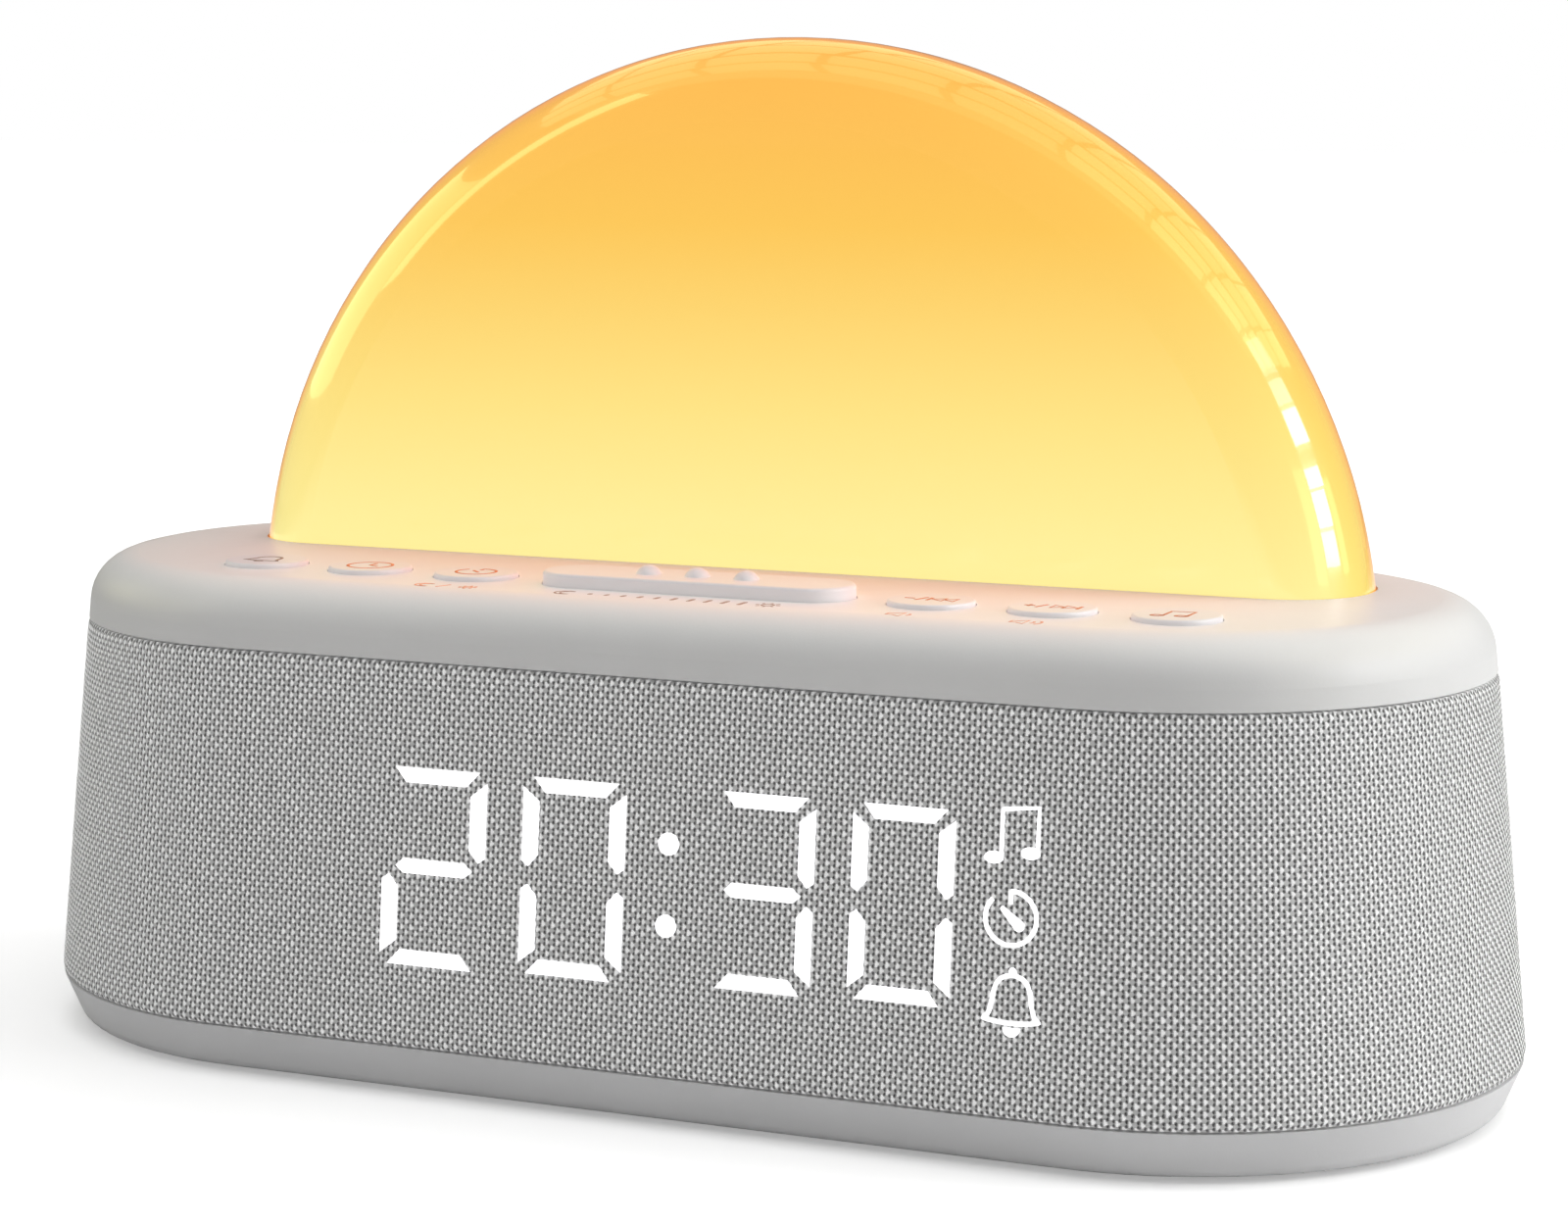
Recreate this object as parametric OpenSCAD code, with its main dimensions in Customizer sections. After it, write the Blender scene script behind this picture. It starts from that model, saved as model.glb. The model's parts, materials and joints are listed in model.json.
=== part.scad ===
// Sunrise alarm clock. A half-disc lamp stands in the top cover of a long, round-ended
// body that is wrapped in cloth. Seven keys sit in a row in front of the lamp, a lit
// display shines through the cloth, and a small speaker fires forwards at the left.
//
// Frame: the origin is on the table under the middle of the body, +Z is up and the
// display faces -Y. Lengths are millimetres and angles are degrees.

/* [Body] */
// Length of the body at its widest line
body_length = 210; // [206:1:224]
// Depth of the body at its widest line
body_depth = 92; // [90:1:100]
// Height of the top cover above the table
body_height = 66.2; // [65:0.1:74]
// Height of the widest line above the table
waist_z = 7.6; // [7.3:0.1:8.2]
// Inward lean of the sides above the widest line
side_lean = 5.3; // [4:0.1:6]
// Inward lean of the base below the widest line
base_lean = 23; // [15:1:28]
// Radius of the rounding at the widest line
waist_r = 2.5; // [2:0.1:4]
// Height of the seam between the base and the cloth
low_seam_z = 6.9; // [6.5:0.1:7.1]
// Height of the cover from its seam to its top
cover_h = 8.9; // [8.6:0.1:10]
// Radius of the cover's shoulder
shoulder_r = 6.8; // [5:0.1:7.4]
// Radius of the base's lower edge
base_edge_r = 2.2; // [1:0.1:2.4]
// Dark gap left at each seam of the cloth
seam_gap = 0.3; // [0.2:0.05:0.5]

/* [Walls] */
// Wall of the housing and the sides of the cover
wall = 2; // [1.8:0.1:2.4]
// Thickness of the cover's flat top
top_wall = 2.2; // [2:0.1:2.6]
// Thickness of the base's floor
floor_t = 2.2; // [2:0.1:2.6]
// Thickness of the cloth
cloth_t = 0.8; // [0.6:0.1:1]
// Glue line between the cloth and the housing
glue_t = 0.1; // [0.05:0.05:0.2]
// Thickness of the lips that locate one shell in the next
lip_t = 1.2; // [1:0.1:1.5]
// Length of those lips
lip_h = 2.2; // [1.6:0.1:2.6]
// Clearance where one part locates in another
fit_gap = 0.2; // [0.15:0.05:0.3]

/* [Lamp] */
// Radius of the half-disc lamp
lamp_r = 82.9; // [80:0.1:84]
// Thickness of the lamp
lamp_depth = 23.8; // [22:0.1:25]
// Rounding between the lamp's faces and its rim
lamp_edge_r = 11.2; // [9:0.1:11.8]
// Height of the lamp's centre above the table
lamp_z = 55.1; // [52:0.1:57]
// Distance of the lamp behind the middle of the body
lamp_y = 10.85; // [9.5:0.05:11.5]
// Wall of the lamp
lamp_wall = 2; // [1.6:0.1:2.4]
// Width and thickness of the flange that holds the lamp under the cover
flange_w = 3; // [2.4:0.1:3.4]
// Thickness of that flange
flange_t = 2; // [1.6:0.1:2.2]
// Gap between the lamp and the edge of its slot
slot_gap = 0.25; // [0.2:0.05:0.4]
// Spacing of the light-emitting diodes along the lamp
led_pitch = 7; // [6:0.5:9]
// Distance between the two rows of diodes
led_rows = 8; // [7:0.5:9]

/* [Keys] */
// Diameter of a round key
key_d = 11.3; // [10.5:0.1:12]
// Gap between neighbouring round keys
key_space = 5; // [4.2:0.1:5.4]
// Gap between the long snooze bar and the keys beside it
bar_space = 5.1; // [5:0.1:6]
// Length of the snooze bar
bar_length = 44; // [41:0.5:45]
// Depth of the snooze bar
bar_depth = 11; // [10:0.5:11.5]
// Shift of the whole row of keys to the right of the lamp's middle
row_shift = 1.4; // [0:0.1:1.6]
// Distance of the row of keys behind the cover's front seam
key_row_inset = 18.2; // [17.4:0.1:18.6]
// How far a round key stands out of the cover
key_proud = 0.65; // [0.4:0.05:0.8]
// How far the snooze bar stands out of the cover
bar_proud = 1.8; // [1.2:0.05:2.4]
// Travel of a round key, which its joint uses
key_travel = 0.3; // [0.2:0.05:0.35]
// Travel of the snooze bar, which its joint uses
bar_travel = 0.5; // [0.3:0.05:0.6]
// Gap around each key
key_gap = 0.2; // [0.15:0.05:0.3]
// Thickness of the lip that keeps a key in the cover
key_lip_t = 1.2; // [1:0.1:1.4]
// Width of that lip
key_lip_w = 1; // [0.8:0.1:1.2]
// Distance between the ridge dots on the snooze bar
dot_pitch = 7; // [6:0.1:8]
// Diameter of a ridge dot
dot_d = 3.5; // [3:0.1:4]
// Height of a ridge dot
dot_h = 1.15; // [0.8:0.05:1.4]

/* [Display] */
// Height of a digit
digit_h = 25.2; // [22:0.1:25.5]
// Width of a digit
digit_w = 14.5; // [13:0.1:15]
// Width of a lit stroke
stroke = 2.2; // [1.6:0.1:2.4]
// Distance between the centres of two digits
digit_pitch = 19.5; // [19:0.1:19.9]
// Distance from the colon to the digit beside it
colon_space = 13.2; // [12.5:0.1:13.8]
// Slope of the digits
digit_lean = 0; // [0:0.5:5]
// Distance from the colon to the column of icons
icon_space = 46.3; // [45.8:0.1:46.8]
// Size of an icon's window
icon_size = 8; // [7:0.1:8.4]
// Distance between the centres of two icons
icon_pitch = 10.2; // [9.6:0.1:10.8]
// Distance from the light box to where the front turns into the round end
box_inset = 1.3; // [1:0.1:2]
// Distance of the display's middle below the middle of the cloth
display_drop = 0.6; // [0:0.1:1.2]
// Margin of the light box around its windows
box_margin = 0.8; // [0.7:0.1:1.4]
// Depth of the light box
box_t = 5; // [4:0.1:6]

/* [Speaker] */
// Radius of the speaker's frame
speaker_r = 18; // [17:0.1:18.5]
// Width of the speaker's mounting rim
speaker_rim = 2.8; // [2.6:0.1:3]
// Outer radius of the voice coil
coil_r = 6.1; // [5.8:0.1:6.2]
// Radius of the magnet
magnet_r = 10.5; // [10:0.1:11]
// Thickness of the magnet
magnet_t = 3.5; // [3:0.1:5]
// Travel of the cone each way, which its joint uses
cone_travel = 0.8; // [0.5:0.1:0.9]
// Width of a sound slot in the housing
slot_w = 2.4; // [2:0.1:2.8]
// Distance between two sound slots
slot_pitch = 4; // [3.8:0.1:4.4]

/* [Base fittings] */
// How far the feet stand below the base
foot_proud = 0.6; // [0.4:0.1:0.8]
// Radius of a rubber foot
foot_r = 6; // [5:0.1:7]
// Depth of the recess that holds a foot
foot_recess = 1; // [0.8:0.1:1.2]
// Distance of the feet from the middle, along the body
foot_x = 72; // [66:0.5:73]
// Distance of the feet from the middle, across the body
foot_y = 26; // [22:0.5:27]
// Radius of the coin cell
cell_r = 10; // [9.5:0.1:10.2]
// Thickness of the coin cell
cell_t = 3.2; // [2.5:0.1:3.4]
// Place of the battery cap along the body
battery_x = -45; // [-47:0.5:-44.5]
// Place of the battery cap across the body
battery_y = 8; // [6:0.5:12]
// Angle that the battery cap turns to unlock, which its joint uses
cap_turn = 40; // [30:1:45]

/* [Power inlet] */
// Radius of the power inlet's centre pin
jack_pin_r = 1; // [0.95:0.01:1.05]
// Radius of the power inlet's socket
jack_bore_r = 3.15; // [3:0.05:3.3]
// Place of the power inlet along the body
jack_x = 30; // [26:0.5:34]
// Width of the panel around the power inlet
panel_w = 30; // [24:0.5:34]
// Height of the panel around the power inlet
panel_h = 15; // [14.5:0.1:16]

/* [Boards and screws] */
// Thickness of the circuit boards
board_t = 1.6; // [1.2:0.1:1.8]
// Length of the main board
main_w = 80; // [76:1:84]
// Depth of the main board
main_d = 34; // [33:0.5:36]
// Radius of the screws that close the shells
case_screw_r = 1.25; // [1.1:0.05:1.4]
// Radius of the small screws that hold the boards
board_screw_r = 1; // [0.9:0.05:1.1]
// Gap between a screw's shank and its hole
screw_gap = 0.1; // [0.05:0.05:0.15]

/* [Hidden] */
$fn = 96;

// ---- Heights and outlines of the shells ----
// The body is a straight middle between two round ends, so its section is swept
// around a line of this half-length.
straight = (body_length - body_depth) / 2;
top_seam_z = body_height - cover_h;
face_z = (low_seam_z + top_seam_z) / 2;
floor_z = foot_proud + floor_t;
ceiling_z = body_height - top_wall;
lean_cos = cos(side_lean);

// Distance from the middle line to the cloth's outer face at height z.
function skin(z) = body_depth / 2 + waist_r * (1 / lean_cos - 1)
    - (z - waist_z) * tan(side_lean);
// The same for the housing's outer and inner faces.
function housing_out(z) = skin(z) - (cloth_t + glue_t) / lean_cos;
function housing_in(z) = housing_out(z) - wall / lean_cos;

// Depths of the same faces measured square to the leaning front.
housing_face = -(cloth_t + glue_t);
housing_back = housing_face - wall;

// Lips: the base's stands inside the housing, and the cover's hangs inside it.
base_lip_r = housing_in(low_seam_z + lip_h) - fit_gap;
cover_lip_r = housing_in(top_seam_z) - fit_gap;

// A stadium-shaped shell: the 2D child is its section, with x as the distance from
// the middle line and y as the height.
module around(half = straight) {
    for (side = [-1, 1])
        translate([side * half, 0, 0])
            rotate([0, 0, -90 * side])
                rotate_extrude(angle = 180) children();
    rotate([90, 0, 90])
        linear_extrude(height = 2 * half, center = true) {
            children();
            mirror([1, 0]) children();
        }
}

// Puts its children on the leaning front, with their Z pointing out of the cloth and
// their Y up along it.
module on_front(x, z) {
    translate([x, -skin(z), z]) rotate([90 - side_lean, 0, 0]) children();
}
module on_rear(x, z) {
    rotate([0, 0, 180]) on_front(-x, z) children();
}

// Four copies, one in each quarter of the body.
module in_quarters() {
    for (mx = [0, 1], my = [0, 1]) mirror([mx, 0, 0]) mirror([0, my, 0]) children();
}

// A place in a round end, at an angle from the long axis.
function end_place(angle, radius) =
    [straight + radius * cos(angle), radius * sin(angle), 0];

module plate(size, thickness, corner = 1) {
    linear_extrude(height = thickness) {
        square([size[0] - 2 * corner, size[1]], center = true);
        square([size[0], size[1] - 2 * corner], center = true);
        for (sx = [-1, 1], sy = [-1, 1])
            translate([sx * (size[0] / 2 - corner), sy * (size[1] / 2 - corner)])
                circle(r = corner);
    }
}

// A pan-head screw with its point up and the underside of its head at z = 0.
head_ratio = 1.8;
module screw(r, length) {
    head_r = r * head_ratio;
    head_h = r * 1.1;
    slot = r * 0.45;
    difference() {
        union() {
            cylinder(r = r, h = length);
            translate([0, 0, -head_h]) cylinder(r = head_r, h = head_h);
        }
        for (turn = [0, 90])
            rotate([0, 0, turn])
                translate([0, 0, -head_h])
                    cube([head_r * 1.3, slot, head_h], center = true);
    }
}

// ---- Base ----
waist_arc = [body_depth / 2 - waist_r, waist_z];
edge_arc = [
    waist_arc[0] + (waist_r - base_edge_r
        - (waist_z - foot_proud - base_edge_r) * sin(base_lean)) / cos(base_lean),
    foot_proud + base_edge_r
];
function on_arc(centre, radius, angle) =
    centre + radius * [cos(angle), sin(angle)];

module base_outline() {
    intersection() {
        union() {
            polygon([
                [0, foot_proud],
                [edge_arc[0], foot_proud],
                on_arc(edge_arc, base_edge_r, -base_lean),
                on_arc(waist_arc, waist_r, -base_lean),
                [waist_arc[0], waist_z],
                [0, waist_z]
            ]);
            translate(edge_arc) circle(r = base_edge_r);
            translate(waist_arc) circle(r = waist_r);
        }
        translate([0, foot_proud]) square([body_depth, low_seam_z - foot_proud]);
    }
}

module base_section() {
    difference() {
        base_outline();
        translate([-1, floor_z]) square([base_lip_r - lip_t + 1, low_seam_z]);
    }
    translate([base_lip_r - lip_t, floor_z])
        square([lip_t, low_seam_z + lip_h - floor_z]);
}

// Case screws come up through the base into posts of the housing.
case_head_r = case_screw_r * head_ratio;
case_hole_r = case_screw_r + fit_gap;
case_post_r = 4;
case_post_top = 24;
case_post_merge = 0.6;
case_seat_z = floor_z + 0.8;
case_post_at = end_place(45,
    housing_in(case_post_top) - case_post_r + case_post_merge);
case_screw_l = 12;

// The main board stands on posts of the base.
main_z = low_seam_z + lip_h + 0.4;
main_top = main_z + board_t;
main_x = 15;
main_edge_gap = 5;
main_y = housing_in(main_z) - main_edge_gap - main_d / 2;
board_post_r = 3;
main_post_inset = 5;
module at_main_posts() {
    for (sx = [-1, 1], sy = [-1, 1])
        translate([main_x + sx * (main_w / 2 - main_post_inset),
            main_y + sy * (main_d / 2 - main_post_inset), 0]) children();
}

// The battery cap turns in a round hole with three notches for its lugs.
cap_r = cell_r + 2;
cap_gap = 0.2;
cap_recess = 0.2;
lug_r = cap_r + 1.4;
lug_t = 1;
lug_gap = 0.15;
lug_angle = 24;
lug_count = 3;
holder_wall = 1.4;
holder_r = lug_r + 0.4;
cap_top = floor_z + lug_gap + lug_t;
cell_gap = 0.1;
cell_z = cap_top + cell_gap;
contact_t = 0.4;
holder_top = cell_z + cell_t + contact_t + 0.3;
module at_battery() translate([battery_x, battery_y, 0]) children();
module lugs(radius, angle, height) {
    for (i = [0:lug_count - 1])
        rotate([0, 0, i * 360 / lug_count - angle / 2])
            rotate_extrude(angle = angle) translate([cap_r - 1, 0])
                square([radius - cap_r + 1, height]);
}

module base() color("gainsboro") difference() {
    union() {
        around() base_section();
        in_quarters() translate(case_post_at)
            translate([0, 0, floor_z - 1])
                cylinder(r = case_post_r - 0.4, h = low_seam_z + lip_h - floor_z + 1);
        at_main_posts() translate([0, 0, floor_z - 1])
            cylinder(r = board_post_r, h = main_z - floor_z + 1);
    }
    in_quarters() {
        translate(case_post_at) {
            cylinder(r = case_hole_r, h = main_z);
            cylinder(r = case_head_r + fit_gap, h = case_seat_z);
        }
        translate([foot_x, foot_y, 0])
            cylinder(r = foot_r + fit_gap / 2, h = foot_proud + foot_recess);
    }
    at_main_posts() translate([0, 0, floor_z])
        cylinder(r = board_screw_r + screw_gap, h = main_z);
    at_battery() {
        translate([0, 0, -1]) cylinder(r = cap_r + cap_gap, h = floor_z + 2);
        rotate([0, 0, cap_turn])
            lugs(lug_r + cap_gap, lug_angle + 4, floor_z + 1);
    }
}

module feet() color("dimgray") in_quarters()
    translate([foot_x, foot_y, 0]) cylinder(r = foot_r, h = foot_proud + foot_recess);

module base_screws() color("silver") in_quarters()
    translate(case_post_at + [0, 0, case_seat_z]) screw(case_screw_r, case_screw_l);

module battery_cap() color("gainsboro") at_battery() {
    coin_slot = [14, 1.8, 1.2];
    difference() {
        translate([0, 0, foot_proud + cap_recess])
            cylinder(r = cap_r, h = cap_top - foot_proud - cap_recess);
        cube([coin_slot[0], coin_slot[1], 2 * (foot_proud + cap_recess + coin_slot[2])],
            center = true);
    }
    translate([0, 0, cap_top - lug_t]) lugs(lug_r, lug_angle, lug_t);
}

module coin_cell() color("silver") at_battery() translate([0, 0, cell_z]) {
    step_r = cell_r * 0.85;
    step_h = cell_t * 0.15;
    cylinder(r = step_r, h = cell_t);
    cylinder(r = cell_r, h = cell_t - step_h);
}

// A cup over the cell, fixed to the floor.
holder_lid = 1.2;
module battery_holder() color("dimgray") at_battery() difference() {
    translate([0, 0, floor_z])
        cylinder(r = holder_r + holder_wall, h = holder_top + holder_lid - floor_z);
    translate([0, 0, floor_z - 1])
        cylinder(r = holder_r, h = cap_top + 0.2 - floor_z + 1);
    cylinder(r = cell_r + 0.8, h = holder_top);
}

// A leaf on the cell's top and a strip at its side.
leaf_w = 5;
module battery_contacts() color("goldenrod") at_battery() {
    translate([-cell_r * 0.7, -leaf_w / 2, cell_z + cell_t])
        cube([cell_r * 1.4, leaf_w, contact_t]);
    translate([cell_r + 0.1, -leaf_w / 2, cell_z + 0.4])
        cube([0.3, leaf_w, cell_t]);
}

// ---- Housing and cloth ----
module housing_section() {
    polygon([
        [housing_in(low_seam_z), low_seam_z],
        [housing_out(low_seam_z), low_seam_z],
        [housing_out(top_seam_z), top_seam_z],
        [housing_in(top_seam_z), top_seam_z]
    ]);
}

module cloth_section() {
    low = low_seam_z + seam_gap;
    high = top_seam_z - seam_gap;
    inner = cloth_t / lean_cos;
    difference() {
        intersection() {
            union() {
                polygon([
                    [0, low],
                    [waist_arc[0], low],
                    on_arc(waist_arc, waist_r, side_lean),
                    [skin(high), high],
                    [0, high]
                ]);
                translate(waist_arc) circle(r = waist_r);
            }
            translate([0, low]) square([body_depth, high - low]);
        }
        polygon([
            [-1, low - 1],
            [skin(low - 1) - inner, low - 1],
            [skin(high + 1) - inner, high + 1],
            [-1, high + 1]
        ]);
    }
}

// The panel around the power inlet fills this opening in the cloth and the housing.
panel_gap = 0.15;
jack_size = [9, 14, 11];
jack_axis_z = main_top + 6.5;
panel_z = jack_axis_z + 1.8;
module panel_opening() {
    on_rear(jack_x, panel_z) translate([0, 0, housing_back - 2])
        plate([panel_w + 2 * panel_gap, panel_h + 2 * panel_gap],
            wall + cloth_t + 6, 2 + panel_gap);
}

// Ears on the housing take the screws that hold the cover down.
ear_z = 47;
ear_t = 3;
cover_screw_l = 12;
cover_post_r = 3;
cover_post_c = cover_lip_r - fit_gap - cover_post_r;
cover_post_at = end_place(50, cover_post_c);
cover_post_low = ear_z + ear_t;
module at_cover_posts() {
    in_quarters() translate([straight, 0, 0]) rotate([0, 0, 50])
        translate([cover_post_c, 0, 0]) children();
}

// Display posts carry the board behind the front window.
digit_shift = digit_h / 2 * tan(digit_lean);
box_left = colon_space + digit_pitch + digit_w / 2 + digit_shift + box_margin;
box_right = icon_space + icon_size / 2 + box_margin;
box_w = box_left + box_right;
box_h = max(digit_h, 2 * icon_pitch + icon_size) + 2 * box_margin;
box_rim = box_margin - 0.1;
display_x = straight - box_inset - box_w / 2;
display_z = face_z - display_drop;
colon_x = box_w / 2 - box_right;
film_t = 0.5;
box_back = housing_back - film_t - box_t;
display_post_r = 2.3;
display_post_inset = 6;
display_post_x = box_w / 2 - display_post_inset;
display_post_y = box_h / 2 + display_post_r + 0.4;
module on_display() on_front(display_x, display_z) children();
module at_display_posts() {
    for (sx = [-1, 1], sy = [-1, 1])
        translate([sx * display_post_x, sy * display_post_y, 0]) children();
}

// The speaker sits on a tube that grows from the inside of the front wall.
speaker_x = -(straight + 1);
speaker_depth = 8.6;
tube_wall = 3;
tube_in = speaker_r - 2;
tube_out = tube_in + tube_wall;
speaker_lug_at = speaker_r + 0.6;
speaker_lug_r = 2.4;
speaker_screw_r = board_screw_r * 0.9;
// Inside this frame Z runs into the clock from the speaker's front plane.
module on_speaker() {
    on_front(speaker_x, face_z) translate([0, 0, -speaker_depth])
        rotate([180, 0, 0]) children();
}
module at_speaker_lugs() {
    for (turn = [45:90:315]) rotate([0, 0, turn])
        translate([speaker_lug_at, 0, 0]) children();
}
module speaker_tube() {
    intersection() {
        on_speaker() translate([0, 0, -speaker_depth]) {
            cylinder(r = tube_out, h = speaker_depth);
            at_speaker_lugs() cylinder(r = speaker_lug_r + 0.2, h = speaker_depth);
        }
        around() polygon([
            [0, low_seam_z],
            [housing_out(low_seam_z) - wall / 2, low_seam_z],
            [housing_out(top_seam_z) - wall / 2, top_seam_z],
            [0, top_seam_z]
        ]);
    }
}
module sound_slots() {
    reach = tube_in - 2;
    count = floor(reach / slot_pitch);
    for (i = [-count:count]) {
        half = sqrt(pow(reach, 2) - pow(i * slot_pitch, 2));
        translate([i * slot_pitch - slot_w / 2, -half, -speaker_depth])
            cube([slot_w, 2 * half, speaker_depth]);
    }
}

module housing() color("whitesmoke") difference() {
    union() {
        around() housing_section();
        speaker_tube();
        in_quarters() translate(case_post_at)
            translate([0, 0, low_seam_z + lip_h + 0.1])
                cylinder(r = case_post_r, h = case_post_top - low_seam_z - lip_h - 0.1);
        in_quarters() translate([straight, 0, 0]) rotate([0, 0, 50])
            translate([cover_post_c - cover_post_r - 1, -cover_post_r - 1, ear_z])
                cube([housing_in(ear_z) + wall / 2 - cover_post_c + cover_post_r + 1,
                    2 * cover_post_r + 2, ear_t]);
        on_display() at_display_posts() translate([0, 0, box_back])
            cylinder(r = display_post_r, h = -box_back + housing_back + wall / 2);
    }
    // the bore of the speaker tube, and the slots through the wall in front of it
    on_speaker() translate([0, 0, -speaker_depth + 5.6])
        cylinder(r = tube_in, h = speaker_depth);
    on_speaker() sound_slots();
    on_display() translate([box_rim - box_w / 2, box_rim - box_h / 2, housing_back - 1])
        cube([box_w - 2 * box_rim, box_h - 2 * box_rim, wall + 2]);
    panel_opening();
    in_quarters() translate(case_post_at)
        cylinder(r = case_screw_r + screw_gap, h = case_seat_z + case_screw_l + 1);
    at_cover_posts() cylinder(r = case_hole_r, h = ear_z + ear_t + 1);
    on_display() at_display_posts() translate([0, 0, box_back - 1])
        cylinder(r = board_screw_r + screw_gap, h = 6);
    on_speaker() at_speaker_lugs() translate([0, 0, -3.6])
        cylinder(r = speaker_screw_r + screw_gap, h = 5);
}

module fabric_sleeve() color("darkgray") difference() {
    around() cloth_section();
    panel_opening();
}

// ---- Top cover and lamp ----
shoulder_arc = [
    skin(body_height - shoulder_r) - shoulder_r / lean_cos,
    body_height - shoulder_r
];
module cover_outline() {
    intersection() {
        union() {
            polygon([
                [0, top_seam_z],
                [skin(top_seam_z), top_seam_z],
                on_arc(shoulder_arc, shoulder_r, side_lean),
                [shoulder_arc[0], body_height],
                [0, body_height]
            ]);
            translate(shoulder_arc) circle(r = shoulder_r);
        }
        translate([0, top_seam_z]) square([body_depth, cover_h]);
    }
}
module cover_section() {
    inner_r = shoulder_r - wall;
    difference() {
        cover_outline();
        polygon([
            [-1, top_seam_z - 1],
            [skin(top_seam_z) - wall, top_seam_z - 1],
            on_arc(shoulder_arc, inner_r, side_lean),
            [shoulder_arc[0], ceiling_z],
            [-1, ceiling_z]
        ]);
    }
    translate([cover_lip_r - lip_t, top_seam_z - lip_h]) square([lip_t, lip_h + 1.6]);
    translate([cover_lip_r - lip_t, top_seam_z])
        square([skin(top_seam_z) - wall / 2 - cover_lip_r + lip_t, 1.6]);
}

// The lamp is a disc with a rounded rim. The grow value makes it larger all round.
module lamp_section(grow) {
    flat_x = lamp_r - lamp_edge_r;
    flat_y = lamp_depth / 2 - lamp_edge_r;
    edge = lamp_edge_r + grow;
    translate([0, -flat_y - edge]) square([flat_x, 2 * (flat_y + edge)]);
    translate([0, -flat_y]) square([flat_x + edge, 2 * flat_y]);
    for (side = [-1, 1]) translate([flat_x, side * flat_y]) circle(r = edge);
}
module lamp_form(grow) {
    translate([0, lamp_y, lamp_z]) rotate([90, 0, 0])
        rotate_extrude(angle = 180) intersection() {
            lamp_section(grow);
            translate([0, -lamp_depth]) square([2 * lamp_r, 2 * lamp_depth]);
        }
}

// Half the lamp's length where it passes under the cover, and its outline there.
flange_z = ceiling_z - flange_t;
lamp_half = sqrt(pow(lamp_r, 2) - pow(flange_z - lamp_z, 2));
module lamp_outline(grow) {
    edge = lamp_edge_r + grow;
    flat_x = lamp_half - lamp_edge_r;
    flat_y = lamp_depth / 2 - lamp_edge_r;
    square([2 * flat_x, 2 * (flat_y + edge)], center = true);
    square([2 * (flat_x + edge), 2 * flat_y], center = true);
    for (sx = [-1, 1], sy = [-1, 1]) translate([sx * flat_x, sy * flat_y])
        circle(r = edge);
}
module lamp_plate(grow, z, thickness) {
    translate([0, lamp_y, z]) linear_extrude(height = thickness) lamp_outline(grow);
}

module lamp_dome() color("khaki") difference() {
    union() {
        intersection() {
            lamp_form(0);
            translate([-lamp_r, lamp_y - lamp_depth, ceiling_z - 0.5])
                cube([2 * lamp_r, 2 * lamp_depth, 2 * lamp_r]);
        }
        lamp_plate(flange_w, flange_z, flange_t);
    }
    lamp_form(-lamp_wall);
}

// Six screws pull the light tray and the lamp's flange up against the cover.
tray_post_r = 2.6;
tray_post_y = lamp_depth / 2 + flange_w + tray_post_r + 0.5;
tray_post_x = 62;
tray_floor_t = 1.5;
tray_floor_z = flange_z - 3.4;
lug_plate_t = 1.8;
tray_screw_l = lug_plate_t + 2.8;
module at_tray_posts() {
    for (x = [-tray_post_x, 0, tray_post_x], side = [-1, 1])
        translate([x, lamp_y + side * tray_post_y, 0]) children();
}

module light_tray() color("white") difference() {
    union() {
        lamp_plate(flange_w, tray_floor_z, flange_z - tray_floor_z);
        at_tray_posts() translate([0, 0, flange_z - lug_plate_t])
            cylinder(r = tray_post_r + 0.5, h = lug_plate_t);
        for (x = [-tray_post_x, 0, tray_post_x])
            translate([x - tray_post_r, lamp_y - tray_post_y, flange_z - lug_plate_t])
                cube([2 * tray_post_r, 2 * tray_post_y, lug_plate_t]);
    }
    lamp_plate(0, tray_floor_z + tray_floor_t, flange_t + flange_z);
    at_tray_posts() translate([0, 0, flange_z - 5])
        cylinder(r = board_screw_r + fit_gap, h = 6);
    translate([-6, lamp_y - 4, tray_floor_z - 1]) cube([12, 8, tray_floor_t + 2]);
    at_light_screws() translate([0, 0, tray_floor_z - 1])
        cylinder(r = speaker_screw_r + screw_gap, h = tray_floor_t + 2);
}
module light_tray_screws() color("silver") at_tray_posts()
    translate([0, 0, flange_z - lug_plate_t]) screw(board_screw_r, tray_screw_l);

light_board_z = tray_floor_z + tray_floor_t;
light_board_t = 1.2;
light_top = light_board_z + light_board_t;
light_screw_x = 38.5;
module at_light_screws() {
    for (side = [-1, 1]) translate([side * light_screw_x, lamp_y, 0]) children();
}
module light_board() color("white") difference() {
    lamp_plate(-fit_gap, light_board_z, light_board_t);
    at_light_screws() translate([0, 0, light_board_z - 1])
        cylinder(r = speaker_screw_r + fit_gap, h = light_board_t + 2);
}
module light_board_screws() color("silver") at_light_screws()
    translate([0, 0, light_top]) mirror([0, 0, 1])
        screw(speaker_screw_r, light_board_t + tray_floor_t);

led_size = [3.5, 2.8, 0.8];
led_count = floor((lamp_half - lamp_edge_r) / led_pitch);
module light_leds() color("lemonchiffon") {
    for (i = [-led_count:led_count], side = [-1, 1])
        translate([i * led_pitch, lamp_y + side * led_rows / 2,
            light_top + led_size[2] / 2]) cube(led_size, center = true);
}

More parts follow.
